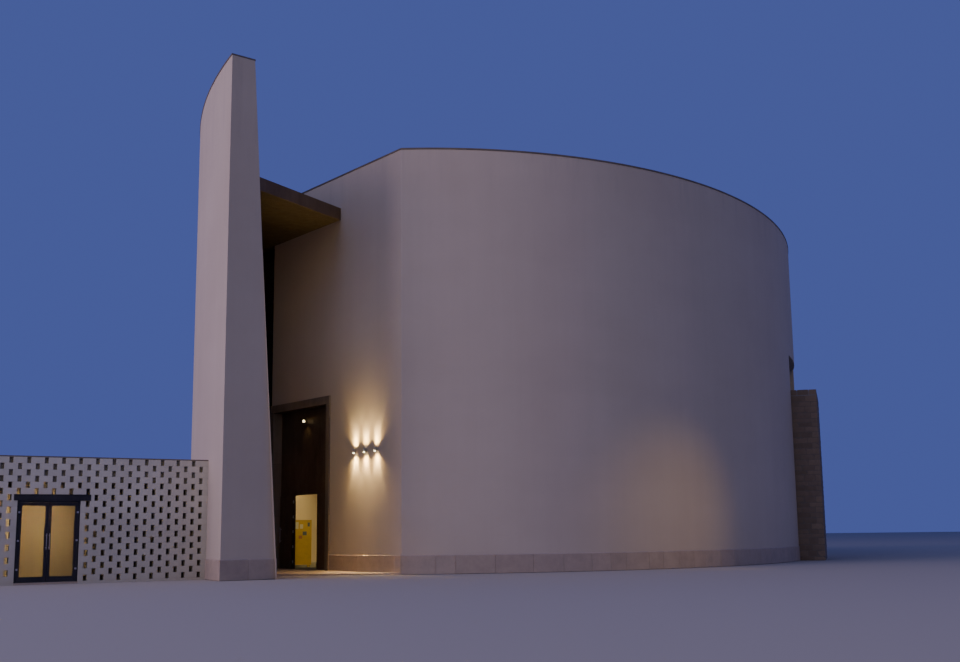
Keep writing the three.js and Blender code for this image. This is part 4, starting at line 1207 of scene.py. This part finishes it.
def add_lantern():
    """A small lantern under the portal's head: rose, stem, cap, glass, bars and bottom ring."""
    head = PORTAL_TOP - PORTAL_HEAD - FIT
    centre = raised(entrance_point(PORTAL_MIDDLE, -PANEL_SETBACK / 2), head)
    cap = -LANTERN_DROP
    foot = cap - LANTERN_HEIGHT
    radius = LANTERN_RADIUS
    metal = Solids()
    metal.revolve(centre, [
        (0, cap - 0.022), (radius, cap - 0.022), (radius, cap - 0.016), (0.02, cap - 0.002), (0.007, cap),
        (0.007, -0.012), (0.03, -0.01), (0.044, -0.006), (0.044, 0.0), (0, 0.0),
    ])
    metal.revolve(centre, [
        (0, foot), (radius - 0.008, foot), (radius, foot + 0.004), (radius, foot + 0.012), (0, foot + 0.012),
    ])
    for i in range(6):
        spot = centre + raised((radius - 0.004) * direction(math.pi / 3 * i), foot + 0.01)
        metal.cylinder(spot, UP, 0.003, LANTERN_HEIGHT - 0.03, sides=10)
    metal.make("portal_lantern_metal", dark_metal, "steel", replaced=["portal_lantern"], bevel=0.0005)
    glass = Solids()
    glass.revolve(centre, [
        (0, foot + 0.014), (0.022, foot + 0.014), (0.036, foot + 0.03), (0.042, foot + 0.055),
        (0.036, foot + 0.08), (0.022, foot + 0.096), (0, foot + 0.096),
    ])
    glass.make("portal_lantern_glass", lantern_glow, "glass", smooth=60)


# Side chapel

STONE_DEPTH = 0.1
STONE_SETBACK = 0.008
STONE_JOINT = 0.01
STONE_SEED = 31
STONE_HEIGHTS = (0.15, 0.26)
STONE_LENGTHS = (0.24, 0.52)
LAST_STONE_LENGTH = 0.62
LONG_SIDES = (0.40, 0.50)
SHORT_SIDES = (0.20, 0.28)
JOINT_DEPTH = 0.016
FIRST_COURSE_FOOT = 0.002
STONES_BACK = 0.04
CHAPEL_BACK = DRUM_THICKNESS - 0.02
FELT_MARGIN = 0.06
CLERESTORY_SETBACK = 0.2
CLERESTORY_BAR = 0.06
CLERESTORY_INSET = 0.08


def stone_lengths(start, end, rng):
    """Spans of the stones in a course, of uneven lengths."""
    places = [start]
    while end - places[-1] > LAST_STONE_LENGTH:
        places.append(places[-1] + rng.uniform(*STONE_LENGTHS))
    places.append(end)
    return zip(places, places[1:])


def add_chapel_stones():
    """Courses of rough stones, with longer corner stones that turn from course to course."""
    rng = random.Random(STONE_SEED)
    noise.seed_set(STONE_SEED)
    stones = Solids()
    outer = -CHAPEL_PROJECTION + STONE_SETBACK
    low, high = inset(CHAPEL_SPAN, STONE_SETBACK)
    joint = STONE_JOINT / 2
    foot = FIRST_COURSE_FOOT
    course = 0

    def lay(x, y, z, tone):
        stones.rough_block(chapel_point, x, y, inset(z, joint), tone)

    while foot < CHAPEL_TOP - 0.01:
        top = foot + rng.uniform(*STONE_HEIGHTS)
        if top > CHAPEL_TOP - STONE_HEIGHTS[0]:
            top = CHAPEL_TOP + joint - STONE_SETBACK
        z = (foot, top)
        long_side, short_side = rng.uniform(*LONG_SIDES), rng.uniform(*SHORT_SIDES)
        if course % 2:
            long_side, short_side = short_side, long_side
        for corner, inward in ((low, 1), (high, -1)):
            x = sorted((corner, corner + inward * short_side))
            lay(x, (outer, outer + long_side), z, rng.uniform(0.6, 1.0))
            x = sorted((corner, corner + inward * STONE_DEPTH))
            for y in stone_lengths(outer + long_side, STONES_BACK, rng):
                lay(x, inset(y, joint), z, rng.uniform(0.0, 0.8))
        for x in stone_lengths(low + short_side, high - short_side, rng):
            lay(inset(x, joint), (outer, outer + STONE_DEPTH), z, rng.uniform(0.0, 0.85))
        foot = top
        course += 1
    stones.make("chapel_stones", dark_stone, "dark_stone", smooth=45)


def add_chapel_core():
    """Mortar behind the stones, and the chapel's roof, sunk a little behind their top course."""
    core = Solids()
    face = -CHAPEL_PROJECTION + JOINT_DEPTH
    inner = -CHAPEL_PROJECTION + CHAPEL_WALL
    low, high = inset(CHAPEL_SPAN, JOINT_DEPTH)
    inner_low, inner_high = inset(CHAPEL_SPAN, CHAPEL_WALL)
    walls = (0.0, CHAPEL_WALL_HEIGHT)
    core.bar(chapel_point, (low, high), (face, inner), walls)
    for x in ((low, inner_low), (inner_high, high)):
        core.bar(chapel_point, x, (inner, CHAPEL_BACK), walls)
    core.make("chapel_wall_core", mortar, "dark_stone",
              replaced=["chapel_front_wall", "chapel_rear_wall", "chapel_outer_wall"], bevel=0.004)
    roof = Solids()
    felt = CHAPEL_TOP - 0.05
    roof.bar(chapel_point, (low, high), (face, CHAPEL_BACK), (CHAPEL_WALL_HEIGHT + FIT, felt))
    roof.bar(chapel_point, inset((low, high), FELT_MARGIN), (face + FELT_MARGIN, 0.12), (felt, felt + 0.015))
    roof.make("chapel_roof_felt", roofing, "dark_stone", replaced=["chapel_roof"], bevel=0.006)


def add_clerestory():
    """Frame and panes of the window over the chapel's roof."""
    bar = CLERESTORY_BAR
    span = inset(CHAPEL_SPAN, CLERESTORY_INSET)
    heights = inset((CHAPEL_TOP, CHAPEL_OPENING_HEIGHT), FIT)
    depth = (CLERESTORY_SETBACK, CLERESTORY_SETBACK + bar)
    post = about(sum(span) / 2, bar / 2)
    bars = Solids()
    for x in ((span[0], span[0] + bar), post, (span[1] - bar, span[1])):
        bars.bar(chapel_point, x, depth, inset(heights, bar))
    for z in ((heights[0], heights[0] + bar), (heights[1] - bar, heights[1])):
        bars.bar(chapel_point, span, depth, z)
    bars.make("clerestory_frame", dark_metal, "dark_metal", replaced=["chapel_clerestory"], bevel=0.003)
    panes = Solids()
    rebate = 0.005
    for x in ((span[0] + bar, post[0]), (post[1], span[1] - bar)):
        panes.bar(chapel_point, inset(x, -rebate), inset(depth, 0.022), inset(heights, bar - rebate))
    panes.make("clerestory_panes", dark_glass, "glass", bevel=0.001)


# Screen wall of the low wing

SCREEN_TOP_SHEET = 0.03
EDGE_BEAM_TOP = 3.12
EDGE_BEAM_DEPTH = 0.2
HOLE_PITCH = 0.212
HOLE_START = 0.165
HOLE_WIDTH = 0.1
HOLE_MARGIN = 0.02
COURSE_FOOT = 0.06
COURSE_HEIGHT = 0.15
BED_JOINT = 0.004
COURSES = 20


def wing_at_shell(y):
    """Where a line along the wing, y outwards from its face, meets the left-hand wall."""
    start = WING_ORIGIN + y * WING_OUT - SHELL_CENTRE
    along = start.dot(WING_ALONG)
    return -along + math.sqrt(along ** 2 - start.length_squared + SHELL_RADIUS ** 2)


def screen_stretches(foot, top):
    """The stretches of screen wall in a course. One that starts at None runs up to the left-hand wall."""
    if top <= LINTEL_FOOT:
        return [(None, WING_DOOR_START), (WING_DOOR_END, WING_LENGTH)]
    if foot < LINTEL_TOP:
        return [(None, LINTEL_START), (LINTEL_END, WING_LENGTH)]
    return [(None, WING_LENGTH)]


def lay_blocks(solids, start, end, foot, top, tone, recess=0.0):
    """A block or a joint over a stretch, set back from both faces."""
    front, back = inset((0.0, -SCREEN_THICKNESS), -recess)
    near, far = [wing_at_shell(y) if start is None else start for y in (front, back)]
    outline = [wing_point(near, front), wing_point(end, front), wing_point(end, back), wing_point(far, back)]
    solids.upright(outline, foot, top, tone)


def hole_edges(course, start, end):
    """Ends of the blocks beside the open holes in a stretch of a course."""
    low = (start or 0.0) + HOLE_MARGIN
    edges = [start]
    for place in range(course % 2, round(WING_LENGTH / HOLE_PITCH), 2):
        hole = about(HOLE_START + place * HOLE_PITCH, HOLE_WIDTH / 2)
        if hole[0] > low and hole[1] < end - HOLE_MARGIN:
            edges += hole
    return edges + [end]


def add_screen_wall():
    """The pierced screen: painted blocks laid in courses with open holes between them."""
    rng = random.Random(41)
    blocks = Solids()
    joints = Solids()
    for course in range(COURSES):
        foot = COURSE_FOOT + course * (COURSE_HEIGHT + BED_JOINT)
        top = foot + COURSE_HEIGHT
        for start, end in screen_stretches(foot, top):
            edges = hole_edges(course, start, end)
            for a, b in zip(edges[::2], edges[1::2]):
                lay_blocks(blocks, a, b, foot, top, rng.random())
            lay_blocks(joints, start, end, top, top + BED_JOINT, 0.3, recess=0.003)
    for start, end in screen_stretches(0.0, COURSE_FOOT):
        lay_blocks(blocks, start, end, 0.0, COURSE_FOOT - BED_JOINT, 0.5)
        lay_blocks(joints, start, end, COURSE_FOOT - BED_JOINT, COURSE_FOOT, 0.0, recess=0.005)
    blocks.make("screen_wall_blocks", screen_block, "screen_block",
                replaced=["screen_wall_right", "screen_wall_over_door", "screen_wall_left"], bevel=0.0025)
    joints.make("screen_wall_joints", screen_block, "screen_block")
    sheet = Solids()
    lay_blocks(sheet, None, WING_LENGTH, SCREEN_HEIGHT - SCREEN_TOP_SHEET, SCREEN_HEIGHT, 0.5, -0.0015)
    sheet.make("screen_wall_coping", edge_metal, "dark_metal", bevel=0.004)


def add_wing_capping():
    """A folded sheet over the roof's edge beam, up to the top of the highest holes."""
    cap = Solids()
    front = -SCREEN_THICKNESS - 0.001
    back = front - EDGE_BEAM_DEPTH - 0.012
    end = WING_LENGTH - WING_WALL
    cover = (front, back, EDGE_BEAM_TOP, EDGE_BEAM_TOP + 0.018)
    apron = (back + 0.005, back, EDGE_BEAM_TOP - 0.12, EDGE_BEAM_TOP)
    for near, far, foot, top in (cover, apron):
        cap.upright([
            wing_point(wing_at_shell(near), near), wing_point(end, near),
            wing_point(end, far), wing_point(wing_at_shell(far), far),
        ], foot, top)
    cap.make("wing_edge_capping", edge_metal, "dark_metal", bevel=0.001)


# Door of the low wing

WING_AXIS_INSET = 0.0443
WING_AXIS_Y = -0.02
WING_LEAF_SPAN = (0.011, 0.7207)
WING_LEAF_HEIGHTS = (0.06, 2.005)
WING_LEAF_FRONT = -0.01
WING_STILE = 0.06
WING_BEAD = 0.01
WING_HINGE_HEIGHTS = (0.35, 1.05, 1.75)
LINTEL_FLANGE = 0.014


def add_wing_leaf(name, axis, side):
    """A glazed leaf: stiles, rails and beads, its pane, its pull handle and its hinge halves."""
    body = f"wing_leaf_{name}"

    def place(x, y):
        return wing_point(axis + side * x, WING_AXIS_Y + y)

    front = WING_LEAF_FRONT
    depth = (front - LEAF_THICKNESS, front)
    rail = 2 * WING_STILE
    foot, top = WING_LEAF_HEIGHTS
    glazed = inset(WING_LEAF_SPAN, WING_STILE)
    glazed_heights = (foot + rail, top - WING_STILE)
    bars = Solids()
    bars.rim(place, WING_LEAF_SPAN, depth, WING_LEAF_HEIGHTS, WING_STILE, rail)
    bars.rim(place, glazed, inset(depth, 0.006), glazed_heights, WING_BEAD)
    bars.make(f"wing_door_leaf_{name}_frame", dark_metal, "dark_metal", body, [f"wing_door_leaf_{name}"],
              bevel=0.002)
    pane = Solids()
    pane.bar(place, inset(glazed, 0.002), about(sum(depth) / 2, 0.006), inset(glazed_heights, 0.002))
    pane.make(f"wing_door_leaf_{name}_pane", clear_glass, "glass", body, bevel=0.001)
    fittings = Solids()
    add_pull(fittings, place, WING_LEAF_SPAN[1] - WING_STILE / 2, front, 1, (0.85, 0.4), (0.9, 1.2),
             (0.009, 0.006, 0.014), 24)
    knuckle = KNUCKLE_HEIGHT - KNUCKLE_GAP
    for height in WING_HINGE_HEIGHTS:
        fittings.cylinder(raised(place(0.0, 0.0), height), UP, 0.0078, knuckle)
        fittings.bar(place, (0.0, 0.04), (-0.008, -0.004), (height, height + knuckle))
    fittings.make(f"wing_door_leaf_{name}_fittings", steel, "steel", body, bevel=0.0006)


def add_wing_door():
    """Both leaves, and the steel channel over them."""
    right_axis, left_axis = inset((WING_DOOR_START, WING_DOOR_END), WING_AXIS_INSET)
    add_wing_leaf("right", right_axis, 1)
    add_wing_leaf("left", left_axis, -1)
    lintel = Solids()
    span = inset((LINTEL_START, LINTEL_END), FIT)
    foot = LINTEL_FOOT + FIT
    lintel.bar(wing_point, span, (-SCREEN_THICKNESS, 0.004), (foot, LINTEL_TOP))
    for z in ((foot, LINTEL_FOOT + LINTEL_FLANGE), (LINTEL_TOP - LINTEL_FLANGE, LINTEL_TOP)):
        lintel.bar(wing_point, span, (0.004, 0.012), z)
    lintel.make("wing_lintel_channel", dark_metal, "dark_metal", replaced=["wing_lintel"], bevel=0.002)


# Rods on the entrance wall

ROD_PLACES = (2.2, 2.6)
ROD_HEIGHT = 0.15
ROD_RADIUS = 0.009
ROD_TIP_RADIUS = 0.005
ROD_BASE = (0.03, 0.008)


def add_rods():
    rods = Solids()
    for place in ROD_PLACES:
        foot = raised(entrance_point(place, -DRUM_THICKNESS / 2), DRUM_HEIGHT + COPING_THICKNESS)
        rods.cylinder(foot, UP, *ROD_BASE, sides=20)
        rods.cylinder(foot, UP, ROD_RADIUS, ROD_HEIGHT, sides=16, far_radius=ROD_TIP_RADIUS)
    rods.make("roof_edge_rods", dark_metal, "dark_metal", bevel=0.001)


# Stage, light and camera

CAMERA_PLACE = Vector((1.825, -55.599, 1.11))
CAMERA_PITCH = math.radians(9.566)
CAMERA_ROLL = math.radians(-0.655)
SENSOR_WIDTH = 36.0
FOCAL_PIXELS = 1204.93
PHOTO_WIDTH = 960
STAGE_HALF = 400.0
STUDIO_CENTRE = Vector((-1.0, -14.0))
STUDIO_TARGET = (0, -14, 5)

BEAM_COLOUR = (1.0, 0.72, 0.34)
WASH_COLOUR = (1.0, 0.65, 0.21)
GLOW_COLOUR = (1.0, 0.80, 0.34)
SKY_COLOUR = (0.36, 0.48, 1.0)
NAVE_COLOUR = (1.0, 0.72, 0.28)
BOARD_COLOUR = (1.0, 0.85, 0.42)
PATH_COLOUR = (1.0, 0.66, 0.12)


def add_camera():
    """The photo's camera: it looks along +Y, tilted up and rolled a little."""
    data = bpy.data.cameras.new("camera")
    data.sensor_width = SENSOR_WIDTH
    data.lens = SENSOR_WIDTH * FOCAL_PIXELS / PHOTO_WIDTH
    data.clip_end = 1000
    camera = bpy.data.objects.new("camera", data)
    bpy.context.scene.collection.objects.link(camera)
    tilt = Matrix.Rotation(math.pi / 2 + CAMERA_PITCH, 4, "X")
    camera.matrix_world = Matrix.Translation(CAMERA_PLACE) @ tilt @ Matrix.Rotation(CAMERA_ROLL, 4, "Z")
    bpy.context.scene.camera = camera


def add_stage():
    """A plain pale floor, large enough to reach the horizon."""
    mesh = bpy.data.meshes.new("stage_floor")
    corners = [(-1, -1), (1, -1), (1, 1), (-1, 1)]
    mesh.from_pydata([(x * STAGE_HALF, y * STAGE_HALF, 0) for x, y in corners], [], [(0, 1, 2, 3)])
    s = Surface("stage", 0.9)
    s.colour((0.42, 0.38, 0.31))
    mesh.materials.append(s.material)
    floor = bpy.data.objects.new("stage_floor", mesh)
    bpy.context.scene.collection.objects.link(floor)


def add_light(name, kind, place, target, power, colour, **settings):
    data = bpy.data.lights.new(name, kind)
    data.energy = power
    data.color = colour
    for key, value in settings.items():
        setattr(data, key, value)
    light = bpy.data.objects.new(name, data)
    bpy.context.scene.collection.objects.link(light)
    light.location = place
    light.rotation_euler = (Vector(target) - Vector(place)).to_track_quat("-Z", "Y").to_euler()


def add_panel(name, azimuth, distance, height, size, power, colour):
    """A large round studio light, at an azimuth in degrees round the entrance."""
    place = raised(STUDIO_CENTRE + distance * direction(math.radians(azimuth)), height)
    add_light(name, "AREA", place, STUDIO_TARGET, power, colour, shape="DISK", size=size)


def add_spot(name, place, target, angle, blend, power, colour, size=0.03):
    """A lamp whose cone has an angle in degrees."""
    add_light(name, "SPOT", place, target, power, colour, spot_size=math.radians(angle),
              spot_blend=blend, shadow_soft_size=size)


def add_lamp_light():
    """Light from the wall lights, the lantern and the lit rooms."""
    for i, place in enumerate(WALL_LIGHT_PLACES):
        for sense, way, wash in ((-1, "down", 112), (1, "up", 98)):
            lens = raised(entrance_point(place, WALL_LIGHT_STANDOFF), WALL_LIGHT_HEIGHT + sense * 0.08)
            add_spot(f"wall_beam_{i}_{way}", lens, lens + sense * UP, 56, 0.6, 175, BEAM_COLOUR)
            add_spot(f"wall_wash_{i}_{way}", lens, lens + sense * UP, 125, 1.0, wash, WASH_COLOUR)
    porch = entrance_point(2.55, 3.0)
    low_wall = raised(entrance_point(2.0), 3.9)
    high_wall = raised(entrance_point(3.0), 6.6)
    add_spot("porch_glow", raised(porch, 3.4), low_wall, 160, 1.0, 24, GLOW_COLOUR, 0)
    add_spot("porch_sky", raised(porch, 8.0), high_wall, 160, 1.0, 30, SKY_COLOUR, 0)
    lantern_height = PORTAL_HEIGHT - PORTAL_HEAD - LANTERN_DROP - 0.15
    lantern = raised(entrance_point(PORTAL_MIDDLE, -PANEL_SETBACK / 2), lantern_height)
    add_spot("lantern_lamp", lantern, lantern - UP, 120, 1.0, 4, WASH_COLOUR)
    add_spot("nave_lamp", (-2.5, -9.5, 5.0), (-5.7, -6.0, 1.4), 64, 0.8, 1250, NAVE_COLOUR, 0.2)
    by_board = raised(entrance_point(PORTAL_MIDDLE, -1.6), 4.5)
    add_spot("board_lamp", by_board, raised(BOARD_PLACE, 0.9), 32, 0.6, 420, BOARD_COLOUR, 0.1)
    room = raised(wing_point(3.1, -2.2), 2.6)
    room_floor = raised(wing_point(3.3, -4.7), 1.3)
    add_spot("wing_lamp", room, room_floor, 66, 1.0, 330, NAVE_COLOUR, 0.1)
    add_spot("path_lamp", (13.0, -23.0, 2.7), (9.1, -19.2, 1.8), 57, 1.0, 267, PATH_COLOUR, 0.1)


def add_lights():
    world = bpy.data.worlds.new("studio")
    bpy.context.scene.world = world
    world.use_nodes = True
    background = world.node_tree.nodes["Background"]
    background.inputs["Color"].default_value = (0.208, 0.286, 1.0, 1)
    background.inputs["Strength"].default_value = 0.335
    add_panel("key_light", 213.5, 105, 38, 75, 43000, (1.0, 0.752, 0.839))
    add_panel("high_light", 235, 70, 75, 60, 18800, (0.536, 0.572, 1.0))
    add_panel("front_fill", 276, 105, 38, 55, 6800, (1.0, 0.784, 0.04))
    add_panel("side_fill", 345, 105, 38, 55, 1200, (1.0, 0.86, 0.81))
    add_lamp_light()


add_camera()
dress_nodes()
add_front_wall()
add_left_wall()
add_copings()
add_plinths()
add_canopy()
add_landing()
add_portal_surround()
add_portal_panels()
add_portal_leaves()
add_notice_board()
add_wall_lights()
add_lantern()
add_chapel_stones()
add_chapel_core()
add_clerestory()
add_screen_wall()
add_wing_capping()
add_wing_door()
add_rods()
add_stage()
add_lights()
